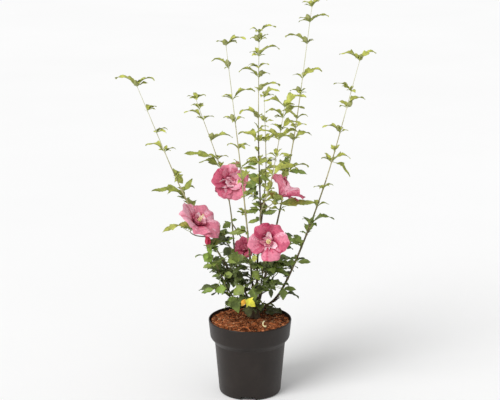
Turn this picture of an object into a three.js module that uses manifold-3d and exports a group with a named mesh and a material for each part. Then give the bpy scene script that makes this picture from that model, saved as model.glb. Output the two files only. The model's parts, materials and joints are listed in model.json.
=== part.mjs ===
// A hibiscus shrub in bloom, in its round black nursery pot.
// Several thin canes rise from one short trunk. Each ends in a leafy shoot with buds, short leafy
// twigs fill the foot of the shrub, and five semi-double flowers stand among the canes.
// Units are millimetres, +Z is up, and the origin is the centre of the pot's flat underside.
// The shrub's front is towards -Y.

import * as THREE from "three";
import { mergeVertices } from "three/addons/utils/BufferGeometryUtils.js";
import Module from "manifold-3d";

const wasm = await Module();
wasm.setup();

const GAP = 0.3; // clearance between pieces that carry or touch each other
const CLEAR = 1.1 * GAP; // the same, along a limb that goes on from the end of another
const GRID = 0.002; // the corners of every finished solid lie on a grid this fine
const UP = new THREE.Vector3(0, 0, 1);
const radians = THREE.MathUtils.degToRad;
const vector = (x, y, z) => new THREE.Vector3(x, y, z);

const POT = {
  height: 174,
  rimRadius: 95,
  lip: 3, // the rolled edge along the top of the rim
  lipRadius: 94.2,
  mouthRadius: 94.4, // what the inside tapers out to, less the wall
  collarRadius: 91, // at the collar's lower edge
  collarFoot: 133,
  shoulder: 120, // where the collar has tapered in to the body
  bodyRadius: 80.7,
  footRadius: 71,
  footRound: 5,
  wall: 1.8,
  floor: 3,
  channels: 3, // drainage channels under the floor, one of them towards the front
  channelTurn: -94,
  channelWidth: 32,
  channelHeight: 8,
  padRadius: 26, // the flat pad in the middle of the underside
  drainRadius: 6,
  drainAt: 44, // each drain hole's distance from the axis
  drainSides: 12,
  sides: 28,
};

const SOIL = {
  edge: 166.5, // height at the pot's wall
  bump: 2.2,
  waves: [0.11, 0.13, 0.05, 0.17], // how closely the bumps follow each other, in radians per millimetre
  level: 40, // the soil is level within this distance of the trunk
  fade: 14,
  rings: 4,
};

const TRUNK = {
  foot: vector(12, 30, 165),
  height: 22,
  profile: [[0, 13], [0.14, 10.9], [0.42, 9.3], [0.8, 8.8], [1, 6.9]], // share of the height and radius
  forkAt: 0.7, // the share of the height at which the boughs leave the trunk
  forkRadius: 4.5, // and how far from its axis
  sides: 10,
};

const LIMB = { sides: 5, boughSteps: 6, shootSteps: 8, tipRadius: 0.9, blunt: 0.8 };
const STALK = {
  foot: 1.5, // radii at the foot and at the calyx
  tip: 1.3,
  steps: 5,
  lead: 0.35, // how straight it runs into the calyx
  reach: 0.6,
  sink: 2, // how far it runs into the calyx, in millimetres
};

// Each cane runs from the trunk through a knee and a waist to its tip. Up to `leafy`, a share of its
// length, it is a bare bough. Above that it is a leafy shoot. `joints` gives each joint's share of the
// way to the tip and a word for what grows there: L, R, F and B are full leaves to the left, right,
// front and back, small letters are small leaves, o is a bud above the last leaf and p is a bud about
// to open.
const CANES = [
  {
    name: "far_left", knee: [-64, 8, 315], waist: [-147, -17, 470], tip: [-244, -60, 724],
    radius: 2.7, leafy: 0.32,
    joints: {
      0.4: "lb", 0.47: "Bf", 0.52: "L", 0.56: "r", 0.62: "bf", 0.73: "Lr", 0.81: "r", 0.9: "rb",
      0.998: "LRfo",
    },
  },
  {
    name: "left", knee: [-30, 50, 280], waist: [-53, 87, 454], tip: [-124, 130, 659],
    radius: 2.6, leafy: 0.46,
    joints: {
      0.52: "b", 0.6: "rf", 0.67: "Lb", 0.71: "lr", 0.8: "Ro", 0.9: "Lr", 0.95: "l", 0.998: "lrbf",
    },
  },
  {
    name: "middle_left", knee: [2, -1, 299], waist: [-18, -62, 520], tip: [-50, -150, 827],
    radius: 2.8, leafy: 0.26,
    joints: {
      0.31: "l", 0.38: "b", 0.45: "r", 0.5: "Bf", 0.56: "loR", 0.63: "lr", 0.73: "lor", 0.81: "Rl",
      0.92: "Lbo", 0.998: "lRfo",
    },
  },
  {
    name: "right", knee: [39, 42, 281], waist: [95, 72, 552], tip: [139, 110, 874],
    radius: 2.9, leafy: 0.3,
    joints: {
      0.34: "l", 0.41: "bf", 0.47: "RBl", 0.51: "l", 0.57: "Rlo", 0.61: "r", 0.64: "Lr", 0.72: "lof",
      0.77: "Rl", 0.88: "Lo", 0.95: "loR", 0.998: "lRfb",
    },
  },
  {
    name: "far_right", knee: [76, 20, 242], waist: [162, -20, 483], tip: [235, -70, 782],
    radius: 3, leafy: 0.1,
    joints: {
      0.17: "b", 0.24: "lr", 0.3: "lb", 0.35: "B", 0.39: "FR", 0.46: "rb", 0.53: "lrf", 0.63: "Rlb",
      0.67: "b", 0.74: "Lo", 0.83: "oRb", 0.89: "Lf", 0.998: "LRfo",
    },
  },
  {
    name: "front_left", knee: [-34, 15, 215], waist: [-55, -3, 257], tip: [-89, -42, 346],
    radius: 2, leafy: 0.5,
    joints: { 0.66: "lB", 0.83: "Lfr", 0.998: "RLBp" },
  },
];

// The centre bough forks into three shoots.
const FORK = {
  name: "centre", knee: [16, 34, 250], waist: [18, 35, 320], tip: [25, 32, 388], radius: 3.2,
};
const FORK_SHOOTS = [
  {
    name: "centre", knee: [22, 42, 480], waist: [19, 47, 600], tip: [20, 60, 822],
    radius: 2,
    joints: {
      0.07: "lr", 0.13: "Rl", 0.2: "Lb", 0.26: "Rf", 0.33: "lrb", 0.38: "b", 0.44: "Lrbf", 0.5: "r",
      0.56: "Lo", 0.7: "Ro", 0.77: "Lro", 0.82: "lr", 0.88: "Rl", 0.95: "lob", 0.998: "Rlf",
    },
  },
  {
    name: "back", knee: [30, 62, 420], waist: [37, 126, 500], tip: [33, 200, 650],
    radius: 1.7,
    joints: { 0.09: "rBp", 0.35: "Bl", 0.5: "fr", 0.66: "Rlfb", 0.81: "lof", 0.998: "oRb" },
  },
  {
    name: "front", knee: [24, -20, 430], waist: [46, -118, 530], tip: [72, -200, 706],
    radius: 1.8,
    joints: {
      0.3: "rl", 0.42: "Fb", 0.55: "Rb", 0.68: "lf", 0.79: "RLFb", 0.85: "R", 0.93: "LR", 0.998: "LRfb",
    },
  },
];

// A short bough that carries the flower at the front.
const FRONT_BOUGH = {
  name: "front", knee: [22, 2, 236], waist: [28, -26, 286], tip: [33, -48, 334], radius: 2.2,
};

// Each flower leaves a limb at a share of its length. `open` is 1 for a wide open flower and less for
// one that is half shut.
const FLOWERS = [
  {
    name: "front", from: "bough_front", at: 1, joints: { 0.6: "lF", 0.95: "r" },
    centre: [40, -100, 386], facing: [0.05, -0.93, 0.36], radius: 45, open: 1,
  },
  {
    name: "left", from: "shoot_far_left", at: 0.05, joints: { 0.9: "fl" },
    centre: [-113, -42, 418], facing: [0.52, -0.37, 0.79], radius: 50, open: 1,
  },
  {
    name: "upper_left", from: "shoot_left", at: 0.12, joints: { 0.95: "rb" },
    centre: [-44, 42, 484], facing: [0.1, -0.95, 0.3], radius: 43, open: 0.95,
  },
  {
    name: "upper_right", from: "shoot_front", at: 0.22, joints: { 0.95: "RB" },
    centre: [76, -84, 496], facing: [0.7, 0.37, 0.61], radius: 48, open: 0.85,
  },
  {
    name: "behind", from: "bough_left", at: 0.9, joints: { 0.95: "b" },
    centre: [-12, 24, 334], facing: [-0.35, -0.75, 0.55], radius: 29, open: 0.85,
  },
];

// Leafy twigs round the foot of the shrub: the limb that each leaves and where, the way it points in
// degrees (0 is +X and 90 is away from the front), its rise above the level, and its length.
const LOW_TWIGS = [
  { name: "low_left", from: "bough_front_left", at: 0.45, azimuth: 195, rise: 35, length: 58 },
  { name: "low_front_left", from: "bough_front_left", at: 0.12, azimuth: 238, rise: 30, length: 62 },
  { name: "low_front", from: "bough_front", at: 0.06, azimuth: 276, rise: 28, length: 56 },
  { name: "low_front_right", from: "bough_front", at: 0.3, azimuth: 318, rise: 34, length: 64 },
  { name: "low_right", from: "bough_far_right", at: 0.5, azimuth: 334, rise: 30, length: 38 },
  { name: "low_back_right", from: "bough_right", at: 0.22, azimuth: 42, rise: 36, length: 70 },
  { name: "low_back", from: "bough_centre", at: 0.15, azimuth: 92, rise: 38, length: 62 },
  { name: "low_back_left", from: "bough_left", at: 0.22, azimuth: 146, rise: 36, length: 70 },
  { name: "middle_left", from: "bough_far_left", at: 0.4, azimuth: 205, rise: 44, length: 50 },
  { name: "middle_front_left", from: "bough_middle_left", at: 0.28, azimuth: 236, rise: 42, length: 56 },
  { name: "middle_front", from: "bough_middle_left", at: 0.56, azimuth: 282, rise: 36, length: 52 },
  { name: "middle_right", from: "bough_front", at: 0.62, azimuth: 345, rise: 42, length: 56 },
  { name: "middle_back_right", from: "bough_right", at: 0.6, azimuth: 84, rise: 30, length: 48 },
  { name: "middle_back", from: "bough_centre", at: 0.5, azimuth: 110, rise: 44, length: 54 },
  { name: "middle_inside", from: "bough_left", at: 0.62, azimuth: 190, rise: 48, length: 46 },
];

const TWIG = {
  sides: 3,
  steps: 3,
  foot: 1.5, // radii of the stem's foot, a side twig's foot and each tip
  side: 0.9,
  tip: 0.6,
  bend: 14, // how much the outer half turns up, in degrees
  joints: 5,
  end: 0.99, // the last joint lies this far along the twig
  forks: [2, 3], // the joints where a side twig leaves
  forkTurn: [38, 56], // least and most, in degrees
  forkRise: 8,
  forkLength: 0.5,
  sideJoints: 3,
};

const LEAF = {
  stalk: 0.24, // the leaf stalk's share of the length
  stalkHalf: 0.8, // half width of the stalk
  lobeAt: 0.32, // shares of the blade where the side lobes and the shoulders stand
  shoulderAt: 0.66,
  shoulder: 0.17, // half width at the shoulders, as a share of the blade
  plainAt: 0.4, // where a plain leaf is widest
  ridge: 0.7, // half thickness along the midrib
  brush: 3, // leaves of one piece may share this much, in cubic millimetres, where their stalks meet
  steps: 12,
  curl: 1.6, // above 1 the leaf bends more towards its tip
};

// Leaves of the shoots: lengths, angles in degrees, and the half width as a share of the blade. What
// youth adds is added in full at the shoot's tip, and what lean adds is added by chance.
const SHOOT_LEAF = {
  large: 60, small: 32, size: [0.88, 1.12], shrink: 0.16, turn: 24,
  rise: 34, riseYouth: 12, riseLean: 16, droop: 76, droopLean: 30, roll: 0.35, fold: 0.5, lobe: 0.3,
};

// Leaves at the foot, which are broader and flatter.
const FOOT_LEAF = {
  large: 54, size: [0.78, 1.18], fullFrom: 1.08, shrink: 0.15, turn: [52, 82], endTurn: 20,
  rise: 20, riseLean: 34, droop: 60, droopLean: 40, roll: 0.5, fold: 0.22, lobe: 0.37,
};

const BUD = { green: [7.6, 5.4], opening: [17, 6.2], stalk: 4, sides: 4, outward: 0.5, upward: 0.95 };

const FLOWER = {
  petals: 5,
  edge: [0.8, 0.98, 1, 0.98], // reach round one petal, from the notch between two petals
  ruffle: 2.4,
  thickness: 1.1,
  depth: 0.62, // depth of an open cup, as a share of the radius
  shut: 0.5, // how much deeper a closed one would be
  sunk: 0.6, // how far the base of the cup lies behind the flower's centre, as a share of its depth
  heart: 0.4, // where the small petals meet, as a share of the depth
  waist: [0.49, 0.7], // radius and height of the petals' bend
  inner: [0.3, 1, 0.42, 0.8], // radius and height of the small petals' tips, and of their sides
  column: [4, 2, 0.9, 1.25], // radii and heights of the stamens' column
  calyx: [[-8, 4.5], [1, 6.5], [6, 3]], // heights and radii in millimetres
  calyxFoot: -15,
  stalkAt: -12,
  round: 5,
};

const SEEDS = { shoots: 10, flowers: 40, twigs: 70 };

// Random numbers that are the same in every run.
function randomFrom(seed) {
  let state = (Math.imul(seed, 2654435761) ^ 0x9e3779b9) >>> 0;
  return () => {
    state = (Math.imul(state, 1664525) + 1013904223) >>> 0;
    return state / 4294967296;
  };
}

const spread = (draw, size) => (2 * draw() - 1) * size;
const between = (draw, [least, most]) => least + (most - least) * draw();
// Angles spaced evenly round a full turn.
const turnsOf = (count, shift = 0) =>
  Array.from({ length: count }, (_, k) => (2 * Math.PI * (k + shift)) / count);

// A closed solid through rings of points. A ring of one point closes an end in a tip.
function loft(rings) {
  const points = rings.flat();
  const faces = [];
  let start = 0;
  for (let i = 0; i + 1 < rings.length; i++) {
    const here = rings[i].length;
    const next = rings[i + 1].length;
    const count = Math.max(here, next);
    for (let k = 0; k < count; k++) {
      const a = start + (k % here);
      const b = start + ((k + 1) % here);
      const c = start + here + (k % next);
      const d = start + here + ((k + 1) % next);
      if (here > 1) faces.push(a, b, c);
      if (next > 1) faces.push(b, d, c);
    }
    start += here;
  }
  const first = rings[0].length;
  const last = rings.at(-1).length;
  for (let k = 1; k + 1 < first; k++) faces.push(0, k + 1, k);
  for (let k = 1; k + 1 < last; k++) faces.push(start, start + k, start + k + 1);
  const geometry = new THREE.BufferGeometry().setFromPoints(points);
  geometry.setIndex(faces);
  return solidOf(geometry);
}

// The solid inside a closed geometry, whichever way its faces are turned.
function solidOf(geometry) {
  const bare = geometry.clone();
  bare.deleteAttribute("normal");
  bare.deleteAttribute("uv");
  const merged = mergeVertices(bare, GRID / 10);
  const triVerts = new Uint32Array(merged.index.array);
  const vertProperties = merged.attributes.position.array;
  const made = new wasm.Manifold(new wasm.Mesh({ numProp: 3, vertProperties, triVerts }));
  if (made.volume() > 0) return made;
  for (let i = 0; i < triVerts.length; i += 3) {
    [triVerts[i + 1], triVerts[i + 2]] = [triVerts[i + 2], triVerts[i + 1]];
  }
  return new wasm.Manifold(new wasm.Mesh({ numProp: 3, vertProperties, triVerts }));
}

// The solid with its corners moved to a fine grid, so that none lie closer than the files can tell
// apart. Nothing is returned where that would leave it open or in several bodies.
function settle(solid) {
  const { vertProperties, triVerts } = solid.getMesh();
  const geometry = new THREE.BufferGeometry();
  const onGrid = Float32Array.from(vertProperties, (value) => Math.round(value / GRID) * GRID);
  geometry.setAttribute("position", new THREE.BufferAttribute(onGrid, 3));
  geometry.setIndex(new THREE.BufferAttribute(triVerts, 1));
  const merged = mergeVertices(geometry, GRID / 10);
  const faces = [];
  for (let i = 0; i < triVerts.length; i += 3) {
    const [a, b, c] = merged.index.array.subarray(i, i + 3);
    if (a !== b && b !== c && c !== a) faces.push(a, b, c);
  }
  try {
    const mesh = new wasm.Mesh({
      numProp: 3,
      vertProperties: merged.attributes.position.array,
      triVerts: Uint32Array.from(faces),
    });
    const made = new wasm.Manifold(mesh);
    return made.decompose().length === 1 && pairsUp(made.getMesh()) ? made : null;
  } catch {
    return null;
  }
}

// Whether every edge has exactly one face on each side.
function pairsUp({ vertProperties, triVerts, numProp }) {
  const corner = (i) => vertProperties.subarray(i * numProp, i * numProp + 3).join();
  const edges = new Map();
  for (let i = 0; i < triVerts.length; i++) {
    const next = i % 3 === 2 ? i - 2 : i + 1;
    const edge = [corner(triVerts[i]), corner(triVerts[next])].sort().join(" ");
    edges.set(edge, (edges.get(edge) ?? 0) + 1);
  }
  return [...edges.values()].every((count) => count === 2);
}

// Joins solids into one body. Sealed hollows are filled and loose scraps are dropped.
function fuse(solids) {
  const joined = solids.reduce((sum, solid) => sum.add(solid));
  const bodies = joined.decompose().filter((body) => body.volume() > 0);
  return bodies.reduce((best, body) => (body.volume() > best.volume() ? body : best));
}

function meshOf(name, solid, material) {
  const { vertProperties, triVerts } = solid.getMesh();
  const geometry = new THREE.BufferGeometry();
  geometry.setAttribute("position", new THREE.BufferAttribute(vertProperties, 3));
  geometry.setIndex(new THREE.BufferAttribute(triVerts, 1));
  geometry.computeVertexNormals();
  const mesh = new THREE.Mesh(geometry, material);
  mesh.name = name;
  return mesh;
}

// A ring of points round a place on a line. `level` fixes where the ring starts.
function ringRound(centre, along, radius, sides, level) {
  const side = new THREE.Vector3().crossVectors(along, level).normalize();
  const other = new THREE.Vector3().crossVectors(along, side).normalize();
  return turnsOf(sides).map((angle) =>
    centre
      .clone()
      .addScaledVector(side, radius * Math.cos(angle))
      .addScaledVector(other, radius * Math.sin(angle)),
  );
}

const levelFor = (along) => (Math.abs(along.z) < 0.8 ? UP : vector(1, 0, 0));

// A tapering limb along a curve, from share `from` to share `to` of its length. `grown` makes it
// larger all round, to cut its clearance out of other pieces.
function limbSolid({ curve, from, to, radiusAt, sides, steps }, grown = 0) {
  const level = levelFor(curve.getPointAt(to).sub(curve.getPointAt(from)).normalize());
  const rings = Array.from({ length: steps + 1 }, (_, i) => {
    const at = Math.min(from + ((to - from) * i) / steps, to);
    const along = curve.getTangentAt(at);
    const end = i === 0 ? -grown : i === steps ? grown : 0;
    const centre = curve.getPointAt(at).addScaledVector(along, end);
    return ringRound(centre, along, radiusAt(at) + grown, sides, level);
  });
  return loft(rings);
}

const curveThrough = (points) => new THREE.CatmullRomCurve3(points, false, "catmullrom", 0.5);
const taper = (foot, tip) => (at) => foot + (tip - foot) * at;

// The leaf's midrib: it leaves the twig at its rise and arches over by its droop.
function midrib(leaf) {
  const outward = vector(Math.cos(leaf.azimuth), Math.sin(leaf.azimuth), 0);
  const points = [leaf.base.clone()];
  const slopes = [];
  const steps = LEAF.steps;
  for (let i = 0; i < steps; i++) {
    const share = (i + 0.5) / steps;
    const slope = leaf.rise - leaf.droop * share ** LEAF.curl;
    const step = outward.clone().multiplyScalar(Math.cos(slope)).addScaledVector(UP, Math.sin(slope));
    points.push(points.at(-1).clone().addScaledVector(step, leaf.length / steps));
    slopes.push(slope);
  }
  return (share) => {
    const place = Math.min(share * steps, steps - 1e-6);
    const i = Math.floor(place);
    const slope = slopes[i];
    const along = outward.clone().multiplyScalar(Math.cos(slope)).addScaledVector(UP, Math.sin(slope));
    const across = new THREE.Vector3().crossVectors(UP, outward).applyAxisAngle(along, leaf.roll);
    const face = new THREE.Vector3().crossVectors(along, across);
    return { point: points[i].clone().lerp(points[i + 1], place - i), across, face };
  };
}

// One leaf with its stalk: a blade thick along the midrib and sharp along its edges. A full leaf has
// side lobes and shoulders, and a small one is a plain blade.
function leafSolid(leaf) {
  const rib = midrib(leaf);
  const blade = leaf.length * (1 - LEAF.stalk);
  const station = (share, half, fold) => {
    const { point, across, face } = rib(LEAF.stalk + (1 - LEAF.stalk) * share);
    const edge = (side) =>
      point
        .clone()
        .addScaledVector(across, side * half * Math.cos(fold))
        .addScaledVector(face, half * Math.sin(fold));
    return [
      edge(1),
      point.clone().addScaledVector(face, LEAF.ridge),
      edge(-1),
      point.clone().addScaledVector(face, -LEAF.ridge),
    ];
  };
  const rings = [[rib(0).point]];
  if (leaf.stalked) rings.push(station(0, LEAF.stalkHalf, 0));
  rings.push(station(leaf.full ? LEAF.lobeAt : LEAF.plainAt, leaf.lobe * blade, leaf.fold));
  if (leaf.full) rings.push(station(LEAF.shoulderAt, LEAF.shoulder * blade, leaf.fold));
  rings.push([rib(1).point]);
  return loft(rings);
}

// An oval bud on its stalk.
function budSolid(bud) {
  const [half, width] = bud.opening ? BUD.opening : BUD.green;
  const end = bud.base.clone().addScaledVector(bud.along, BUD.stalk);
  const along = (reach) => end.clone().addScaledVector(bud.along, reach);
  const level = levelFor(bud.along);
  const ring = (reach, radius) => ringRound(along(reach), bud.along, radius, BUD.sides, level);
  return loft([[bud.base], ring(0.1 * half, 0.4 * width), ring(half, width), [along(2 * half)]]);
}

const TOWARDS = { l: 180, r: 0, f: 270, b: 90 };

// What grows at one joint of a shoot. `youth` is 0 at the shoot's foot and 1 at its tip.
function growJoint(word, base, along, youth, draw) {
  const kind = SHOOT_LEAF;
  const organs = [];
  let last = 0;
  for (const letter of word) {
    const turn = radians(spread(draw, kind.turn));
    const size = between(draw, kind.size);
    const lean = draw();
    const roll = spread(draw, kind.roll);
    if (letter === "o" || letter === "p") {
      const direction = vector(Math.cos(last + turn), Math.sin(last + turn), 0)
        .multiplyScalar(BUD.outward)
        .addScaledVector(along, BUD.upward)
        .normalize();
      organs.push({ kind: "bud", base, along: direction, opening: letter === "p" });
      continue;
    }
    const full = letter !== letter.toLowerCase();
    last = radians(TOWARDS[letter.toLowerCase()]) + turn;
    organs.push({
      kind: "leaf",
      base,
      full,
      stalked: full,
      azimuth: last,
      length: (full ? kind.large : kind.small) * size * (1 - kind.shrink * youth),
      rise: radians(kind.rise + kind.riseYouth * youth + kind.riseLean * lean),
      droop: radians(kind.droop + kind.droopLean * lean),
      roll,
      fold: kind.fold,
      lobe: kind.lobe,
    });
  }
  return organs;
}

// What grows on a shoot or a flower's stalk, from its lowest joint to its tip.
function growShoot(joints, curve, draw) {
  return Object.entries(joints).flatMap(([share, word], i, all) => {
    const at = Number(share);
    const youth = all.length > 1 ? i / (all.length - 1) : 1;
    return growJoint(word, curve.getPointAt(at), curve.getTangentAt(at), youth, draw);
  });
}

// A leafy twig at the foot: a stem with side twigs, and leaves that alternate along each. It is a list
// of twigs, the stem first, each with its curve and what grows on it.
function growTwig(base, azimuth, rise, length, draw, level = 0) {
  const kind = FOOT_LEAF;
  const leg = (angle) =>
    vector(Math.cos(azimuth) * Math.cos(angle), Math.sin(azimuth) * Math.cos(angle), Math.sin(angle))
      .multiplyScalar(length / 2);
  const middle = base.clone().add(leg(rise));
  const curve = curveThrough([base, middle, middle.clone().add(leg(rise + radians(TWIG.bend)))]);
  const radiusAt = taper(level ? TWIG.side : TWIG.foot, TWIG.tip);
  const twig = { curve, from: 0, to: 1, radiusAt, sides: TWIG.sides, steps: TWIG.steps, organs: [] };
  const twigs = [twig];
  const joints = level ? TWIG.sideJoints : TWIG.joints;
  for (let i = 1; i <= joints; i++) {
    const side = i % 2 ? 1 : -1;
    const turn = i === joints ? spread(draw, kind.endTurn) : side * between(draw, kind.turn);
    const size = between(draw, kind.size);
    const lean = draw();
    const roll = spread(draw, kind.roll);
    twig.organs.push({
      kind: "leaf",
      base: curve.getPointAt(Math.min(i / joints, TWIG.end)),
      full: size > kind.fullFrom,
      stalked: false,
      azimuth: azimuth + radians(turn),
      length: kind.large * size * (1 - kind.shrink * level),
      rise: radians(kind.rise + kind.riseLean * lean),
      droop: radians(kind.droop + kind.droopLean * lean),
      roll,
      fold: kind.fold,
      lobe: kind.lobe,
    });
    if (!level && TWIG.forks.includes(i)) {
      const fork = azimuth - side * radians(between(draw, TWIG.forkTurn));
      const start = curve.getPointAt(i / joints);
      const forkRise = rise + radians(TWIG.forkRise);
      twigs.push(...growTwig(start, fork, forkRise, length * TWIG.forkLength, draw, 1));
    }
  }
  return twigs;
}

const organSolid = (organ) => (organ.kind === "leaf" ? leafSolid(organ) : budSolid(organ));

// Limbs that other pieces keep clear of, each with its clearance added.
const keepOff = [];
const limbs = new Map();
const built = [];
const root = new THREE.Group();
root.name = "hibiscus_shrub";

function apart(a, b) {
  const [p, q] = [a.boundingBox(), b.boundingBox()];
  return [0, 1, 2].some((i) => p.max[i] < q.min[i] || q.max[i] < p.min[i]);
}

const shared = (a, b) => (apart(a, b) ? 0 : a.intersect(b).volume());

function hits(solid) {
  return [...keepOff.map((limb) => limb.grown), ...built].some((other) => shared(solid, other) > 0);
}

function place(name, solid, material) {
  root.add(meshOf(name, solid, material));
  built.push(solid);
}

// Cuts a solid clear of every limb and keeps its main body.
function clearOfLimbs(solid) {
  const near = keepOff.filter((limb) => !apart(solid, limb.grown));
  return fuse([near.reduce((left, limb) => left.subtract(limb.grown), solid)]);
}

const MATERIALS = {
  pot: new THREE.MeshStandardMaterial({ color: 0x34312f, roughness: 0.55 }),
  soil: new THREE.MeshStandardMaterial({ color: 0x7a4526, roughness: 0.95 }),
  wood: new THREE.MeshStandardMaterial({ color: 0x4f4433, roughness: 0.85 }),
  shoot: new THREE.MeshStandardMaterial({ color: 0x8a9c48, roughness: 0.6 }),
  foliage: new THREE.MeshStandardMaterial({ color: 0x46682f, roughness: 0.5 }),
  petal: new THREE.MeshStandardMaterial({ color: 0xcf5e8a, roughness: 0.6 }),
};

// A shape of revolution from a profile of [radius, height] points.
function turned(profile) {
  const points = profile.map(([radius, height]) => new THREE.Vector2(radius, height));
  const geometry = new THREE.LatheGeometry(points, POT.sides);
  geometry.rotateX(Math.PI / 2);
  return geometry;
}

const channelTurns = turnsOf(POT.channels).map((turn) => turn + radians(POT.channelTurn));

// A box along one channel under the pot's floor, larger than the channel by a margin.
function channelBox(turn, margin) {
  const start = POT.padRadius - margin;
  const height = POT.channelHeight + margin;
  const box = new THREE.BoxGeometry(POT.rimRadius - start, POT.channelWidth + 2 * margin, 2 * height);
  box.translate((POT.rimRadius + start) / 2, 0, 0);
  box.rotateZ(turn);
  return solidOf(box);
}

// The pot's inside, drawn in by a margin, up to a height.
function insideProfile(margin, top) {
  const inner = POT.wall + margin;
  const wallAt = (height, radius) => [radius - inner, height];
  return [
    [0, POT.floor + margin],
    [POT.footRadius - inner - 1, POT.floor + margin],
    wallAt(POT.footRound + margin + 2, POT.footRadius + 0.3),
    wallAt(POT.shoulder + 1, POT.bodyRadius),
    wallAt(POT.collarFoot + 1, POT.collarRadius),
    [top.radius - inner, top.height],
  ];
}

function makePot() {
  const outside = solidOf(
    turned([
      [0, 0],
      [POT.footRadius - POT.footRound, 0],
      [POT.footRadius, POT.footRound],
      [POT.bodyRadius, POT.shoulder],
      [POT.collarRadius, POT.collarFoot],
      [POT.rimRadius, POT.height - POT.lip],
      [POT.lipRadius, POT.height],
      [0, POT.height],
    ]),
  );
  const mouth = { radius: POT.mouthRadius, height: POT.height - POT.lip };
  const above = 2 * POT.height;
  const hollow = [...insideProfile(0, mouth), [mouth.radius - POT.wall, above], [0, above]];
  let inside = solidOf(turned(hollow));
  for (const turn of channelTurns) inside = inside.subtract(channelBox(turn, POT.wall));
  let pot = outside.subtract(inside);
  const [radius, length] = [POT.drainRadius, POT.height / 2];
  for (const turn of channelTurns) {
    const drain = new THREE.CylinderGeometry(radius, radius, length, POT.drainSides);
    drain.rotateX(Math.PI / 2);
    drain.translate(POT.drainAt, 0, 0);
    drain.rotateZ(turn);
    pot = pot.subtract(channelBox(turn, 0)).subtract(solidOf(drain));
  }
  return fuse([pot]);
}

// The height of the soil: bumps that die away at the pot's wall, and level round the trunk.
function soilHeight(x, y) {
  const out = Math.hypot(x, y) / POT.rimRadius;
  const [a, b, c, d] = SOIL.waves;
  const waves = Math.sin(x * a + 1) * Math.cos(y * b) + 0.6 * Math.sin(x * c - y * d);
  const open = SOIL.edge + SOIL.bump * waves * (1 - out ** 4);
  const away = Math.hypot(x - TRUNK.foot.x, y - TRUNK.foot.y);
  return THREE.MathUtils.lerp(
    TRUNK.foot.z - GAP,
    open,
    THREE.MathUtils.smoothstep(away, SOIL.level, SOIL.level + SOIL.fade),
  );
}

function makeSoil() {
  const share = (SOIL.edge - POT.collarFoot) / (POT.height - POT.lip - POT.collarFoot);
  const radius = THREE.MathUtils.lerp(POT.collarRadius, POT.mouthRadius, share);
  const profile = insideProfile(GAP, { radius, height: SOIL.edge });
  const wall = profile.at(-1)[0];
  for (let i = SOIL.rings - 1; i >= 0; i--) profile.push([(wall * i) / SOIL.rings, 2 * SOIL.edge]);
  const geometry = turned(profile);
  const position = geometry.attributes.position;
  for (let i = 0; i < position.count; i++) {
    if (position.getZ(i) > SOIL.edge + GAP) {
      position.setZ(i, soilHeight(position.getX(i), position.getY(i)));
    }
  }
  let soil = solidOf(geometry);
  for (const turn of channelTurns) soil = soil.subtract(channelBox(turn, POT.wall + GAP));
  return fuse([soil]);
}

// The trunk: flat at the soil, flared at the foot, and narrow where the boughs leave it.
function makeTrunk(grown = 0) {
  const rings = TRUNK.profile.map(([share, radius]) => {
    const centre = TRUNK.foot.clone().addScaledVector(UP, share * (TRUNK.height + grown));
    return ringRound(centre, UP, radius + grown, TRUNK.sides, levelFor(UP));
  });
  return loft(rings);
}

// The line of a cane, from inside the trunk's top to its tip.
function caneCurve(cane) {
  const [knee, waist, tip] = [cane.knee, cane.waist, cane.tip].map((p) => vector(...p));
  const out = vector(knee.x - TRUNK.foot.x, knee.y - TRUNK.foot.y, 0).normalize();
  const foot = TRUNK.foot.clone().addScaledVector(UP, TRUNK.height * TRUNK.forkAt);
  return curveThrough([foot.addScaledVector(out, TRUNK.forkRadius), knee, waist, tip]);
}

// A limb: it is cut clear of the limbs that came before it, and later pieces keep off it.
function addLimb(name, limb) {
  const solid = clearOfLimbs(limbSolid(limb));
  keepOff.push({ name, grown: limbSolid(limb, GAP) });
  limbs.set(name, limb);
  return solid;
}

// Adds what grows on a twig. A leaf or bud is kept where it touches neither another piece nor a leaf
// of its own piece, and joins up cleanly.
function growOn(body, organs) {
  for (const organ of organs) {
    const solid = organSolid(organ);
    const meets = body.organs.some((other) => shared(solid, other) > LEAF.brush);
    const joined = meets || hits(solid) ? null : settle(body.solid.add(solid));
    if (!joined) continue;
    body.organs.push(solid);
    body.solid = joined;
  }
}

// A shoot or twig with all that grows on it. A side twig that touches anything is left out.
function addMass(name, stem, twigs, extras, material) {
  const own = keepOff.findIndex((limb) => limb.name === name);
  const [self] = keepOff.splice(own, 1);
  const body = { organs: [...extras], solid: settle(fuse([stem, ...extras])) };
  for (const twig of twigs) {
    if (twig !== twigs[0]) {
      const solid = limbSolid(twig);
      const joined = hits(solid) ? null : settle(body.solid.add(solid));
      if (!joined) continue;
      body.solid = joined;
    }
    growOn(body, twig.organs);
  }
  place(name, body.solid, material);
  keepOff.push(self);
}

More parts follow.
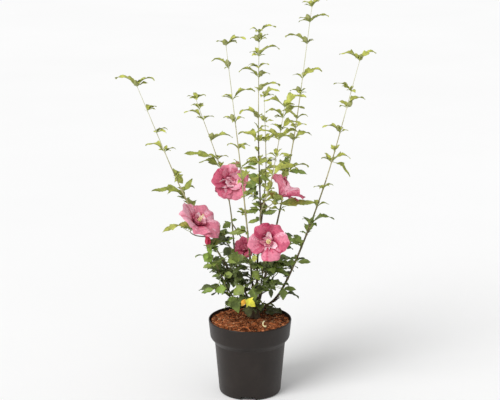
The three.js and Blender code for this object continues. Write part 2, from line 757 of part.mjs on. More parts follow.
// The flower's head: the calyx, a cup of overlapping petals with a ruffled lip, the small inner
// petals, and the column of stamens.
function flowerHead(flower, draw) {
  const facing = vector(...flower.facing).normalize();
  const out = new THREE.Vector3().crossVectors(facing, UP).normalize();
  const sideways = new THREE.Vector3().crossVectors(facing, out).normalize();
  const depth = flower.radius * (FLOWER.depth + FLOWER.shut * (1 - flower.open));
  const base = vector(...flower.centre).addScaledVector(facing, -FLOWER.sunk * depth);
  const at = (radius, height, turn) =>
    base
      .clone()
      .addScaledVector(out, radius * Math.cos(turn))
      .addScaledVector(sideways, radius * Math.sin(turn))
      .addScaledVector(facing, height);

  const perPetal = FLOWER.edge.length;
  const turns = turnsOf(FLOWER.petals * perPetal, draw());
  const ruffles = turns.map(() => spread(draw, FLOWER.ruffle));
  const reach = flower.radius * flower.open;
  const half = FLOWER.thickness / 2;
  const lip = turns.map((turn, k) => at(reach * FLOWER.edge[k % perPetal], depth + ruffles[k], turn));
  const [waist, waistHeight] = FLOWER.waist;
  const bend = (side) =>
    turns.map((turn) => at(reach * waist - side * half, depth * waistHeight + side * half, turn));
  const [tip, tipHeight, side, sideHeight] = FLOWER.inner;
  const inner = turns.map((turn, k) =>
    k % 2
      ? at(flower.radius * side, depth * sideHeight + ruffles[k] / 2, turn)
      : at(flower.radius * tip, depth * tipHeight + ruffles[k] / 2, turn),
  );
  const heart = [at(0, depth * FLOWER.heart, 0)];
  const petals = loft([[at(0, -half, 0)], bend(-1), lip, bend(1), inner, heart]);

  const round = (radius, height) =>
    turnsOf(FLOWER.round).map((turn) => at(radius, height, turn));
  const [foot, neck, neckHeight, end] = FLOWER.column;
  const column = loft([round(foot, 0), round(neck, depth * neckHeight), [at(0, depth * end, 0)]]);
  const calyx = loft([
    [at(0, FLOWER.calyxFoot, 0)],
    ...FLOWER.calyx.map(([height, radius]) => round(radius, height)),
  ]);
  return { solid: fuse([petals, column, calyx]), base: at(0, FLOWER.stalkAt, 0), facing };
}

// The stalk of a flower, from its limb to the back of its calyx.
function stalkCurve(foot, head) {
  const lead = STALK.lead * foot.distanceTo(head.base);
  const back = head.base.clone().addScaledVector(head.facing, -lead);
  const end = head.base.clone().addScaledVector(head.facing, STALK.sink);
  return curveThrough([foot, foot.clone().lerp(back, STALK.reach), back.lerp(head.base, 0.5), end]);
}

place("pot", settle(makePot()), MATERIALS.pot);
place("soil", settle(makeSoil()), MATERIALS.soil);
place("trunk", settle(makeTrunk()), MATERIALS.wood);
keepOff.push({ name: "trunk", grown: makeTrunk(GAP) });

for (const cane of [...CANES, FORK, FRONT_BOUGH]) {
  const name = `bough_${cane.name}`;
  const curve = caneCurve(cane);
  const radiusAt = taper(cane.radius, cane.joints ? LIMB.tipRadius : cane.radius * LIMB.blunt);
  const to = cane.leafy ?? 1;
  const limb = { curve, from: 0, to, radiusAt, sides: LIMB.sides, steps: LIMB.boughSteps };
  place(name, settle(addLimb(name, limb)), MATERIALS.wood);
}

// Every stem comes before the leaves, so that each leaf can keep off all of them. A shoot goes on
// from the tip of its bough, just clear of it.
const forkTip = vector(...FORK.tip).addScaledVector(UP, -1);
const shoots = [...CANES, ...FORK_SHOOTS].map((cane) => {
  const name = `shoot_${cane.name}`;
  const points = [cane.knee, cane.waist, cane.tip].map((point) => vector(...point));
  const curve = cane.leafy ? caneCurve(cane) : curveThrough([forkTip, ...points]);
  const from = cane.leafy ? cane.leafy + CLEAR / curve.getLength() : 0;
  const radiusAt = taper(cane.radius, LIMB.tipRadius);
  const limb = { curve, from, to: 1, radiusAt, sides: LIMB.sides, steps: LIMB.shootSteps };
  return { name, joints: cane.joints, curve, stem: addLimb(name, limb) };
});

const placeOn = ({ from: name, at }) => {
  const { curve, from, to } = limbs.get(name);
  return curve.getPointAt(from + (to - from) * at);
};

const blooms = FLOWERS.map((flower, i) => {
  const name = `flower_${flower.name}`;
  const draw = randomFrom(SEEDS.flowers + i);
  const head = flowerHead(flower, draw);
  const curve = stalkCurve(placeOn(flower), head);
  const from = flower.at === 1 ? CLEAR / curve.getLength() : 0;
  const radiusAt = taper(STALK.foot, STALK.tip);
  const limb = { curve, from, to: 1, radiusAt, sides: LIMB.sides, steps: STALK.steps };
  const organs = growShoot(flower.joints, curve, draw);
  return { name, head, stem: addLimb(name, limb), organs };
});

const lowTwigs = LOW_TWIGS.map((twig, i) => {
  const name = `foliage_${twig.name}`;
  const draw = randomFrom(SEEDS.twigs + i);
  const twigs = growTwig(placeOn(twig), radians(twig.azimuth), radians(twig.rise), twig.length, draw);
  return { name, twigs, stem: addLimb(name, twigs[0]) };
});

for (const bloom of blooms) {
  addMass(bloom.name, bloom.stem, [bloom], [bloom.head.solid], MATERIALS.petal);
}
shoots.forEach((shoot, i) => {
  const organs = growShoot(shoot.joints, shoot.curve, randomFrom(SEEDS.shoots + i));
  addMass(shoot.name, shoot.stem, [{ organs }], [], MATERIALS.shoot);
});
for (const low of lowTwigs) {
  addMass(low.name, low.stem, low.twigs, [], MATERIALS.foliage);
}

export default root;
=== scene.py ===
"""A hibiscus shrub in bloom in its nursery pot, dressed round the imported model.

The shoots, twigs, leaves, buds and flowers grow by the rule of the part's source, with the same
sizes and the same random draws, in millimetres. Each is then given its fine shape, finer twigs are
carried on from the coarse ones, and every mesh is scaled to metres as it is made.
"""

import json
import math

import bpy
import numpy as np
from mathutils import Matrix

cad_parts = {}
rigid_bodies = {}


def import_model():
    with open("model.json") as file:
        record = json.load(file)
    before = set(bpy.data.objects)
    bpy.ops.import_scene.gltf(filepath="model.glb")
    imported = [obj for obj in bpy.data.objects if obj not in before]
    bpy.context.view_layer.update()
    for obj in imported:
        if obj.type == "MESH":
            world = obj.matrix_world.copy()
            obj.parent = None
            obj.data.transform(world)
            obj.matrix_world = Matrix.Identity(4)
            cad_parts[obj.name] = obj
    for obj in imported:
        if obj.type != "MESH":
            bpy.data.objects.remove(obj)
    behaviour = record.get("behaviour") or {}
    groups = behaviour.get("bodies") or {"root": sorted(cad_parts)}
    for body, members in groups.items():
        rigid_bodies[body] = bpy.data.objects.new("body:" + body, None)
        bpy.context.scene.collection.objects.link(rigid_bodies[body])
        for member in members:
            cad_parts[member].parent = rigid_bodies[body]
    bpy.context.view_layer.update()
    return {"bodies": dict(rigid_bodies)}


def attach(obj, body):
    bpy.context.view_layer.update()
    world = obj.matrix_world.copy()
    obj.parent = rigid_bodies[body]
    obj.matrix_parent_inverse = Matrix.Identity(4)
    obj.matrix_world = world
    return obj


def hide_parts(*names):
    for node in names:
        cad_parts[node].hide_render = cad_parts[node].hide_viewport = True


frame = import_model()

MM = 0.001
UP = np.array([0.0, 0.0, 1.0])
BODY = next(iter(frame["bodies"]))
rng = np.random.default_rng(5)

# The camera's place in metres, how many degrees it looks down, and its focal length as a share of the
# picture's width. They were fitted to the rim and foot of the pot in the photograph.
CAMERA_PLACE = (0, -3.2, 1.301)
CAMERA_PITCH = 14.83
CAMERA_REACH = 1477 / 500


def vec(*values):
    return np.array(values, float)


def unit(v):
    return v / np.linalg.norm(v, axis=-1, keepdims=True)


def way(azimuth, rise=0.0):
    """A direction, from its turn about the upright and its rise."""
    flat = math.cos(rise)
    return vec(math.cos(azimuth) * flat, math.sin(azimuth) * flat, math.sin(rise))


def lerp(a, b, share):
    return a + (b - a) * share


def bend(start, middle, end, share):
    """Places on the curve that leaves `start` towards `middle` and comes to `end` from there."""
    return start * (1 - share) ** 2 + 2 * middle * share * (1 - share) + end * share**2


def smooth(value, low, high):
    share = np.clip((value - low) / (high - low), 0, 1)
    return share * share * (3 - 2 * share)


def angles(sides):
    return 2 * np.pi * np.arange(sides) / sides


def wobble(size, shape=None):
    """Random numbers of either sign, up to half of `size`."""
    return (rng.random(shape) - 0.5) * size


def pick(low, room):
    """A random number from `low` up to `low + room`."""
    return low + room * rng.random()


# The source's sizes, in millimetres and degrees.
POT = dict(
    height=174, rim=95, lip_radius=94.2, collar=91, collar_foot=133, shoulder=120, body=80.7,
    foot=71, wall=1.8, floor=3, channels=3, channel_turn=-94, channel_width=32, channel_height=8,
    pad=26, drain=6, drain_at=44,
)
SOIL = dict(edge=166.5, bump=2.2, waves=(0.11, 0.13, 0.05, 0.17), level=40, fade=14)

# The trunk, with its profile as (share of its height, radius). Canes leave it at FORK_AT of its
# height, FORK_RADIUS from its middle. They narrow to TIP_RADIUS, or to BLUNT of their radius where a
# bough ends. The soil lies GAP below the trunk.
TRUNK_FOOT = vec(12, 30, 165)
TRUNK_HEIGHT = 22
TRUNK_PROFILE = [(0, 13), (0.14, 10.9), (0.42, 9.3), (0.8, 8.8), (1, 6.9)]
GAP = 0.3
FORK_AT = 0.7
FORK_RADIUS = 4.5
TIP_RADIUS = 0.9
BLUNT = 0.8

# The canes, each through three places, leafy from a share of its length. Their joints are shares of
# that length with the leaves and buds of each, in the letters that grow_joint reads.
CANES = [
    dict(name="far_left", knee=(-64, 8, 315), waist=(-147, -17, 470), tip=(-244, -60, 724),
         radius=2.7, leafy=0.32,
         joints={0.4: "lb", 0.47: "Bf", 0.52: "L", 0.56: "r", 0.62: "bf", 0.73: "Lr", 0.81: "r",
                 0.9: "rb", 0.998: "LRfo"}),
    dict(name="left", knee=(-30, 50, 280), waist=(-53, 87, 454), tip=(-124, 130, 659),
         radius=2.6, leafy=0.46,
         joints={0.52: "b", 0.6: "rf", 0.67: "Lb", 0.71: "lr", 0.8: "Ro", 0.9: "Lr", 0.95: "l",
                 0.998: "lrbf"}),
    dict(name="middle_left", knee=(2, -1, 299), waist=(-18, -62, 520), tip=(-50, -150, 827),
         radius=2.8, leafy=0.26,
         joints={0.31: "l", 0.38: "b", 0.45: "r", 0.5: "Bf", 0.56: "loR", 0.63: "lr", 0.73: "lor",
                 0.81: "Rl", 0.92: "Lbo", 0.998: "lRfo"}),
    dict(name="right", knee=(39, 42, 281), waist=(95, 72, 552), tip=(139, 110, 874),
         radius=2.9, leafy=0.3,
         joints={0.34: "l", 0.41: "bf", 0.47: "RBl", 0.51: "l", 0.57: "Rlo", 0.61: "r", 0.64: "Lr",
                 0.72: "lof", 0.77: "Rl", 0.88: "Lo", 0.95: "loR", 0.998: "lRfb"}),
    dict(name="far_right", knee=(76, 20, 242), waist=(162, -20, 483), tip=(235, -70, 782),
         radius=3, leafy=0.1,
         joints={0.17: "b", 0.24: "lr", 0.3: "lb", 0.35: "B", 0.39: "FR", 0.46: "rb", 0.53: "lrf",
                 0.63: "Rlb", 0.67: "b", 0.74: "Lo", 0.83: "oRb", 0.89: "Lf", 0.998: "LRfo"}),
    dict(name="front_left", knee=(-34, 15, 215), waist=(-55, -3, 257), tip=(-89, -42, 346),
         radius=2, leafy=0.5,
         joints={0.66: "lB", 0.83: "Lfr", 0.998: "RLBp"}),
]
FORK = dict(name="centre", knee=(16, 34, 250), waist=(18, 35, 320), tip=(25, 32, 388), radius=3.2)
FORK_SHOOTS = [
    dict(name="centre", knee=(22, 42, 480), waist=(19, 47, 600), tip=(20, 60, 822), radius=2,
         joints={0.07: "lr", 0.13: "Rl", 0.2: "Lb", 0.26: "Rf", 0.33: "lrb", 0.38: "b",
                 0.44: "Lrbf", 0.5: "r", 0.56: "Lo", 0.7: "Ro", 0.77: "Lro", 0.82: "lr", 0.88: "Rl",
                 0.95: "lob", 0.998: "Rlf"}),
    dict(name="back", knee=(30, 62, 420), waist=(37, 126, 500), tip=(33, 200, 650), radius=1.7,
         joints={0.09: "rBp", 0.35: "Bl", 0.5: "fr", 0.66: "Rlfb", 0.81: "lof", 0.998: "oRb"}),
    dict(name="front", knee=(24, -20, 430), waist=(46, -118, 530), tip=(72, -200, 706), radius=1.8,
         joints={0.3: "rl", 0.42: "Fb", 0.55: "Rb", 0.68: "lf", 0.79: "RLFb", 0.85: "R", 0.93: "LR",
                 0.998: "LRfb"}),
]
FRONT_BOUGH = dict(name="front", knee=(22, 2, 236), waist=(28, -26, 286), tip=(33, -48, 334), radius=2.2)
FROM_TRUNK = [*CANES, FORK, FRONT_BOUGH]

# The flowers, each with the limb it grows on and where, its centre, the way it faces, its radius and
# how open it is.
FLOWERS = [
    dict(name="front", on="bough_front", at=1, joints={0.6: "lF", 0.95: "r"},
         centre=(40, -100, 386), facing=(0.05, -0.93, 0.36), radius=45, open=1),
    dict(name="left", on="shoot_far_left", at=0.05, joints={0.9: "fl"},
         centre=(-113, -42, 418), facing=(0.52, -0.37, 0.79), radius=50, open=1),
    dict(name="upper_left", on="shoot_left", at=0.12, joints={0.95: "rb"},
         centre=(-44, 42, 484), facing=(0.1, -0.95, 0.3), radius=43, open=0.95),
    dict(name="upper_right", on="shoot_front", at=0.22, joints={0.95: "RB"},
         centre=(76, -84, 496), facing=(0.7, 0.37, 0.61), radius=48, open=0.85),
    dict(name="behind", on="bough_left", at=0.9, joints={0.95: "b"},
         centre=(-12, 24, 334), facing=(-0.35, -0.75, 0.55), radius=29, open=0.85),
]
STALK = dict(foot=1.5, tip=1.3, lead=0.35, reach=0.6, sink=2)

# The leafy twigs at the foot: name, the limb it grows on and where, its turn about the upright, its
# rise and its length.
LOW_TWIGS = [
    ("low_left", "bough_front_left", 0.45, 195, 35, 58),
    ("low_front_left", "bough_front_left", 0.12, 238, 30, 62),
    ("low_front", "bough_front", 0.06, 276, 28, 56),
    ("low_front_right", "bough_front", 0.3, 318, 34, 64),
    ("low_right", "bough_far_right", 0.5, 334, 30, 38),
    ("low_back_right", "bough_right", 0.22, 42, 36, 70),
    ("low_back", "bough_centre", 0.15, 92, 38, 62),
    ("low_back_left", "bough_left", 0.22, 146, 36, 70),
    ("middle_left", "bough_far_left", 0.4, 205, 44, 50),
    ("middle_front_left", "bough_middle_left", 0.28, 236, 42, 56),
    ("middle_front", "bough_middle_left", 0.56, 282, 36, 52),
    ("middle_right", "bough_front", 0.62, 345, 42, 56),
    ("middle_back_right", "bough_right", 0.6, 84, 30, 48),
    ("middle_back", "bough_centre", 0.5, 110, 44, 54),
    ("middle_inside", "bough_left", 0.62, 190, 48, 46),
]
TWIG = dict(foot=1.5, side=0.9, tip=0.6, bend=14, joints=5, end=0.99, forks=(2, 3),
            fork_turn=(38, 56), fork_rise=8, fork_length=0.5, side_joints=3)

# A leaf's stalk as a share of its length, and the power by which its droop comes late.
STALK_SHARE = 0.24
CURL = 1.6
SHOOT_LEAF = dict(large=60, small=32, size=(0.88, 1.12), shrink=0.16, turn=24, rise=34,
                  rise_youth=12, rise_lean=16, droop=76, droop_lean=30, roll=0.35, fold=0.5, lobe=0.3)
FOOT_LEAF = dict(large=54, size=(0.78, 1.18), full_from=1.08, shrink=0.15, turn=(52, 82), end_turn=20,
                 rise=20, rise_lean=34, droop=60, droop_lean=40, roll=0.5, fold=0.22, lobe=0.37)
BUD = dict(green=(7.6, 5.4), opening=(17, 6.2), stalk=4, outward=0.5, upward=0.95, bracts=7)
FLOWER = dict(petals=5, per_petal=4, ruffle=2.4, depth=0.62, shut=0.5, sunk=0.6, stalk_at=-12,
              anthers=34, bracts=8, core=5, margin=3)
SEEDS = dict(shoots=10, flowers=40, twigs=70)

# The sizes from here on are those of what only the scene adds. A pair of numbers is mostly the low
# end and how far it may rise.

# The finest twigs: their length as a share of the twig that bears them, and how that varies, their
# radii and joints, the lowest place of one, how many are missing, how far they fork off and how much
# more steeply they rise, and their leaves.
FINE_TWIG = dict(length=0.4, varies=(0.8, 0.4), radius=0.55, tip=0.35, joints=(0.4, 0.72, 0.99),
                 lowest=240, missing=0.4, fork=(0.8, 0.4), steeper=0.3, leaf=26, size=(0.75, 0.6),
                 turn=(0.7, 0.6), end_turn=0.6, rise=(15, 35), droop=(50, 40), roll=1,
                 fold=FOOT_LEAF["fold"], lobe=FOOT_LEAF["lobe"])

# Small leaves and stipules at the joints of shoots and twigs.
SPUR_LEAF = dict(shoot=22, foot=20, size=(0.7, 1.3), tiny=15, missing=0.25, rise=(25, 45),
                 droop=(40, 50), roll=0.8, fold=0.35, lobe=0.34)
STIPULE = dict(out=1.2, length=(4, 3), width=0.9, lift=0.2)

# The stalk of a leaf on a shoot, as a share of its length, and how much narrower its outer half is.
SHOOT_STALK = 0.1
SLIM = 0.4

# Half a leaf's thickness at its edge and at its rib.
EDGE = 0.09
RIDGE = 0.22

# The swelling of a stem at a joint, how much thinner than its solid its tip is, how far apart the
# joints of a bough are, the waves of bark as (height, how many round the stem, pace along it), and
# the heights between which the bark turns smooth.
NODE_SWELL = dict(share=0.35, length=2.2)
SLENDER = 0.66
BOUGH_JOINTS = dict(first=0.1, apart=0.11)
BARK_WAVES = [(0.5, 3, 0.11), (0.35, 5, -0.23), (0.4, 2, 0.9)]
SMOOTH_ABOVE = 520
ROUGH_BELOW = 300

# The height below which buds blush, and the one from which an opening bud is a darker rose, as painted
# shade.
BLUSH = dict(below=560, painted_shade_from=400)

# The room that a leaf keeps: its points farther than `root` from its foot keep clear of the limbs,
# and all of them of the pot's rim and the soil.
LIMB_ROOM = dict(clearance=0.8, root=7)
POT_ROOM = dict(rim=(88, 97), over_rim=1.5, inside=90, over_soil=2)

# The points of a leaf that are tested, as shares of its length and of its half width.
LEAF_TEST = [(0.3, 0.5), (0.45, 1), (0.6, 0.8), (0.8, 0.45), (1.0, 0)]

# The heights between which leaves turn from dark to young, how much that varies, how much younger
# the leaves on shoots look, and the values above which a leaf looks like one of the tips, or bright.
LEAF_TONE = dict(low=230, high=640, spread=0.42, young=0.12, tip=0.98, bright=0.84)

# One of the leaves that stand out in the photograph has no stalk when it begins lower than this. It
# lies on the mulch.
FALLEN_BELOW = 185


# Materials: soft patches of neighbouring shades, with a fine relief and uneven gloss. Colours are
# sRGB, 0 to 255.
def linear(colour):
    """The linear values of a colour."""
    share = [value / 255 for value in colour]
    return [c / 12.92 if c <= 0.04045 else ((c + 0.055) / 1.055) ** 2.4 for c in share]


def patchy(name, shades, patch, relief, grain=900, rough=(0.6, 0.8), stretch=(1, 1, 1), shine=0.5):
    """Patches `patch` metres wide that drift through the shades, over a relief of fine grain."""
    made = bpy.data.materials.new(name)
    made.use_nodes = True
    nodes = made.node_tree.nodes
    link = made.node_tree.links.new
    shader = nodes["Principled BSDF"]
    shader.inputs["Specular IOR Level"].default_value = shine
    place = nodes.new("ShaderNodeTexCoord")
    mapping = nodes.new("ShaderNodeMapping")
    mapping.inputs["Scale"].default_value = stretch
    link(place.outputs["Object"], mapping.inputs["Vector"])

    def noise(scale, detail):
        node = nodes.new("ShaderNodeTexNoise")
        node.inputs["Scale"].default_value = scale
        node.inputs["Detail"].default_value = detail
        node.inputs["Roughness"].default_value = 0.6
        link(mapping.outputs["Vector"], node.inputs["Vector"])
        return node.outputs["Fac"]

    broad = noise(1 / patch, 4)
    ramp = nodes.new("ShaderNodeValToRGB")
    stops = ramp.color_ramp.elements
    while len(stops) < len(shades):
        stops.new(0.5)
    for i, shade in enumerate(shades):
        stops[i].position = lerp(0.34, 0.66, i / max(len(shades) - 1, 1))
        stops[i].color = (*linear(shade), 1)
    link(broad, ramp.inputs["Fac"])
    link(ramp.outputs["Color"], shader.inputs["Base Color"])
    fine = noise(grain, 3)
    gloss = nodes.new("ShaderNodeMapRange")
    gloss.inputs["To Min"].default_value = rough[0]
    gloss.inputs["To Max"].default_value = rough[1]
    link(fine, gloss.inputs["Value"])
    link(gloss.outputs["Result"], shader.inputs["Roughness"])
    bump = nodes.new("ShaderNodeBump")
    bump.inputs["Strength"].default_value = relief
    bump.inputs["Distance"].default_value = 0.0004
    link(fine, bump.inputs["Height"])
    link(bump.outputs["Normal"], shader.inputs["Normal"])
    return made


def shades_round(colour, spread):
    """Three shades of a colour: darker, itself and lighter."""
    return [[value * factor for value in colour] for factor in (1 - spread, 1, 1 + spread)]


def leaf_material(name, colour, spread=0.16, shine=0.45):
    return patchy(name, shades_round(colour, spread), 0.012, 0.35, rough=(0.42, 0.6), shine=shine)


def stem_material(name, shades, patch=0.008, relief=0.3, grain=800, rough=(0.45, 0.65), stretch=0.2,
                  shine=0.4):
    """Bark or skin, with its patches drawn out along the stem."""
    return patchy(name, shades, patch, relief, grain, rough, (1, 1, stretch), shine)


def bud_material(name, shades, patch=0.004, shine=0.35):
    return patchy(name, shades, patch, 0.4, rough=(0.5, 0.7), shine=shine)


LEAF_COLOURS = dict(
    tip=(178, 182, 84), young=(168, 174, 82), fresh=(146, 154, 68), bright=(126, 152, 58),
    mid=(132, 148, 66), full=(110, 128, 54), dark=(80, 91, 44),
)
LEAF = {name: leaf_material("leaf_" + name, colour) for name, colour in LEAF_COLOURS.items()}
# The shade leaves are darkened with painted shade, for leaves that lie in shade low in front and on the
# mulch.
LEAF["shade"] = leaf_material("leaf_painted_shade", (70, 72, 40), shine=0.2)
LEAF["yellow"] = leaf_material("leaf_yellow", (208, 204, 60), 0.14)
LEAF["orange"] = leaf_material("leaf_orange", (222, 164, 48), 0.12)
UNDER = dict(
    young=leaf_material("leaf_under_young", (150, 158, 80), 0.1, 0.25),
    old=leaf_material("leaf_under_old", (108, 124, 66), 0.12, 0.25),
    yellow=leaf_material("leaf_under_yellow", (214, 206, 96), 0.1, 0.25),
    # The underside of the shade leaves, darkened with painted shade too.
    shade=leaf_material("leaf_under_painted_shade", (68, 70, 44), 0.12, 0.15),
)
STEM = dict(
    bark=stem_material("bark_dark", [(58, 46, 34), (82, 68, 50), (104, 92, 70)], 0.006, 0.8, 700,
                       (0.65, 0.9), 0.25, 0.3),
    brown=stem_material("bark_olive", [(84, 76, 50), (108, 98, 66), (128, 116, 82)], 0.006, 0.7, 700,
                        (0.6, 0.85), 0.25, 0.3),
    olive=stem_material("stem_olive", [(116, 114, 72), (138, 134, 90), (154, 148, 106)], relief=0.4,
                        rough=(0.5, 0.7)),
    pale=stem_material("stem_pale", [(156, 152, 106), (176, 170, 126), (192, 186, 146)]),
    faint=stem_material("stem_faint", [(188, 190, 148), (204, 204, 168), (218, 216, 188)]),
    stalk=stem_material("leaf_stalk", [(138, 150, 72), (160, 170, 92)], stretch=1, shine=0.5),
)
BUD_LOOK = dict(
    green=bud_material("bud_green", [(130, 136, 78), (150, 154, 94), (168, 170, 110)]),
    calyx=bud_material("calyx_green", [(104, 120, 56), (126, 140, 70), (144, 156, 86)], 0.005),
    blush=bud_material("bud_blush", [(150, 128, 88), (156, 112, 90), (140, 92, 82)]),
    # A darker rose for opening buds high up and at the back: painted shade.
    rose_painted_shade=bud_material("bud_rose_painted_shade", [(92, 42, 54), (120, 58, 72), (150, 84, 96)], shine=0.3),
    rose=bud_material("bud_rose", [(176, 34, 66), (200, 54, 88), (214, 84, 116)], shine=0.3),
)
PETAL_SHADES = [(122, 26, 50), (152, 42, 72), (180, 66, 96), (202, 96, 122), (220, 130, 152),
                (234, 168, 186), (246, 206, 216)]
PETAL = [
    patchy(f"petal_{i + 1}", shades_round(shade, 0.07), 0.005, 0.5, 1100, shine=0.2)
    for i, shade in enumerate(PETAL_SHADES)
]
STAMEN = patchy("stamens", [(226, 206, 130), (242, 230, 168), (250, 244, 208)], 0.003, 0.3, shine=0.2)
MULCH_SHADES = dict(
    dark=[(62, 34, 20), (92, 51, 29)], brown=[(132, 72, 39), (160, 91, 52)],
    red=[(174, 99, 54), (196, 115, 68)], orange=[(212, 128, 84), (230, 154, 106)],
    tan=[(230, 180, 136), (240, 204, 160)],
)
MULCH = [
    patchy("mulch_" + name, shades, 0.006, 1.0, rough=(0.8, 0.95), shine=0.15)
    for name, shades in MULCH_SHADES.items()
]
PEEL = patchy("pale_peel", [(240, 226, 160), (250, 242, 200)], 0.004, 0.4)
POT_LOOK = patchy("pot_plastic", [(32, 26, 22), (36, 29, 25), (40, 33, 29)], 0.05, 0.25, 1500,
                  (0.36, 0.5), shine=0.3)


class Pile:
    """Faces collected in millimetres, to be made into one mesh. A face of three corners ends in -1."""

    def __init__(self):
        self.points, self.faces, self.looks, self.count, self.materials = [], [], [], 0, []

    def look(self, material):
        if material not in self.materials:
            self.materials.append(material)
        return self.materials.index(material)

    def add(self, points, faces, looks):
        """Adds faces, with one material for all or an array of them."""
        points = np.asarray(points, float).reshape(-1, 3)
        faces = np.asarray(faces, int).reshape(-1, 4)
        self.faces.append(np.where(faces >= 0, faces + self.count, -1))
        if isinstance(looks, bpy.types.Material):
            looks = np.full(len(faces), self.look(looks))
        self.looks.append(looks)
        self.points.append(points)
        self.count += len(points)

    def make(self, name, slot, replaced=(), sharp=50):
        """One object of all the faces, smooth but for edges sharper than so many degrees."""
        points = np.concatenate(self.points) * MM
        faces = np.concatenate(self.faces)
        looks = np.concatenate(self.looks)
        mesh = bpy.data.meshes.new(name)
        for material in self.materials:
            mesh.materials.append(material)
        real = faces >= 0
        corners = real.sum(1)
        mesh.vertices.add(len(points))
        mesh.vertices.foreach_set("co", points.ravel())
        mesh.loops.add(int(corners.sum()))
        mesh.loops.foreach_set("vertex_index", faces[real])
        mesh.polygons.add(len(faces))
        mesh.polygons.foreach_set("loop_start", np.cumsum(corners) - corners)
        mesh.polygons.foreach_set("material_index", looks)
        mesh.polygons.foreach_set("use_smooth", np.ones(len(faces), bool))
        mesh.update(calc_edges=True)
        mesh.set_sharp_from_angle(angle=math.radians(sharp))
        return dress(show(bpy.data.objects.new(name, mesh)), replaced)


def show(thing):
    """Puts an object in the scene."""
    bpy.context.scene.collection.objects.link(thing)
    return thing


def dress(piece, replaced):
    """Has a piece of the scene ride on the one body and stand for its nodes."""
    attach(piece, BODY)
    if replaced:
        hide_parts(*replaced)
    return piece


def grid_faces(number):
    """Quads between the rows and columns of an array of point numbers."""
    a, b, c, d = number[:-1, :-1], number[1:, :-1], number[1:, 1:], number[:-1, 1:]
    return np.stack([a, b, c, d], -1).reshape(-1, 4)


def thin(pile, middle, half, top, under):
    """A thin closed blade round a middle surface of (rows, columns, 3) points. `half` is its half
    thickness at each column, and the rim is a single sharp line."""
    normal = unit(np.cross(np.gradient(middle, axis=0), np.gradient(middle, axis=1)))
    rows, columns = middle.shape[:2]
    inside = np.zeros((rows, columns), bool)
    inside[1:-1, 1:-1] = True
    lift = normal * np.broadcast_to(half, (rows, columns))[..., None]
    upper = np.arange(rows * columns).reshape(rows, columns)
    lower = upper.copy()
    lower[inside] = rows * columns + np.arange(inside.sum())
    points = np.concatenate([
        np.where(inside[..., None], middle + lift, middle).reshape(-1, 3),
        (middle - lift)[inside],
    ])
    faces = np.concatenate([grid_faces(upper), grid_faces(lower)[:, ::-1]])
    size = (rows - 1, columns - 1)
    looks = [
        np.broadcast_to(side if isinstance(side, np.ndarray) else pile.look(side), size).ravel()
        for side in (top, under)
    ]
    pile.add(points, faces, np.concatenate(looks))


def frames_along(points):
    """Two directions across a line at each of its points, turning as little as they can."""
    along = unit(np.gradient(points, axis=0))
    start = UP if abs(along[0][2]) < 0.8 else vec(1, 0, 0)
    side = unit(np.cross(along[0], start))
    sides = []
    for direction in along:
        side = unit(side - direction * np.dot(side, direction))
        sides.append(side)
    sides = np.array(sides)
    return sides, np.cross(along, sides)


def shell_faces(rings, sides):
    """The quads round the rings of a closed shell, and a fan of triangles at either end, to the two
    points that follow those of the rings."""
    number = np.arange(rings * sides).reshape(rings, sides)
    after = np.roll(number, -1, axis=1)
    none = np.full(sides, -1)
    foot = np.stack([np.full(sides, number.size), number[0], after[0], none], 1)
    head = np.stack([np.full(sides, number.size + 1), after[-1], number[-1], none], 1)
    quads = grid_faces(np.concatenate([number, number[:, :1]], 1))
    return np.concatenate([quads, foot, head])


def add_shell(pile, rings, ends, looks):
    """A closed shell of (rings, sides, 3) points that runs to a point at either end. `looks` is one
    material, or a number of one for each band between two rings."""
    sides = rings.shape[1]
    if isinstance(looks, bpy.types.Material):
        looks = np.full(len(rings) - 1, pile.look(looks))
    looks = np.repeat([*looks, looks[0], looks[-1]], sides)
    pile.add(np.concatenate([rings.reshape(-1, 3), ends]), shell_faces(len(rings), sides), looks)


def tube(pile, points, radii, looks, sides, pointed=False):
    """A closed tube along a line. `radii` holds one radius for each point, or one for each side of it."""
    across, other = frames_along(points)
    angle = angles(sides)
    radii = np.broadcast_to(np.asarray(radii, float).reshape(len(points), -1), (len(points), sides))
    ring = across[:, None] * np.cos(angle)[None, :, None] + other[:, None] * np.sin(angle)[None, :, None]
    ends = [points[0], points[-1] + (points[-1] - points[-2]) * (1.0 if pointed else 0.0)]
    add_shell(pile, points[:, None] + ring * radii[..., None], ends, looks)


# The source's rule.
def random_from(seed):
    """Random numbers that are the same in every run."""
    state = ((seed * 2654435761) & 0xFFFFFFFF) ^ 0x9E3779B9

    def draw():
        nonlocal state
        state = (state * 1664525 + 1013904223) & 0xFFFFFFFF
        return state / 4294967296

    return draw


def spread(draw, size):
    return (2 * draw() - 1) * size


def between(draw, ends):
    return ends[0] + (ends[1] - ends[0]) * draw()


class Curve:
    """A smooth line through points, measured along its length."""

    DIVISIONS = 200

    def __init__(self, points):
        points = [np.asarray(point, float) for point in points]
        self.points = [2 * points[0] - points[1], *points, 2 * points[-1] - points[-2]]
        self.spans = len(points) - 1
        self.shares = np.linspace(0, 1, self.DIVISIONS + 1)
        steps = np.linalg.norm(np.diff([self.raw(t) for t in self.shares], axis=0), axis=1)
        self.lengths = np.concatenate([[0], np.cumsum(steps)])
        self.length = self.lengths[-1]

    def raw(self, t):
        place = min(max(t, 0), 1) * self.spans
        i = min(int(place), self.spans - 1)
        w = place - i
        a, b, c, d = self.points[i : i + 4]
        t0, t1 = 0.5 * (c - a), 0.5 * (d - b)
        return b + t0 * w + (-3 * b + 3 * c - 2 * t0 - t1) * w**2 + (2 * b - 2 * c + t0 + t1) * w**3

    def at(self, share):
        return self.raw(np.interp(share * self.length, self.lengths, self.shares))

    def along(self, share):
        low, high = max(share - 1e-3, 0), min(share + 1e-3, 1)
        return unit(self.at(high) - self.at(low))


def taper(foot, tip):
    return lambda at: foot + (tip - foot) * at


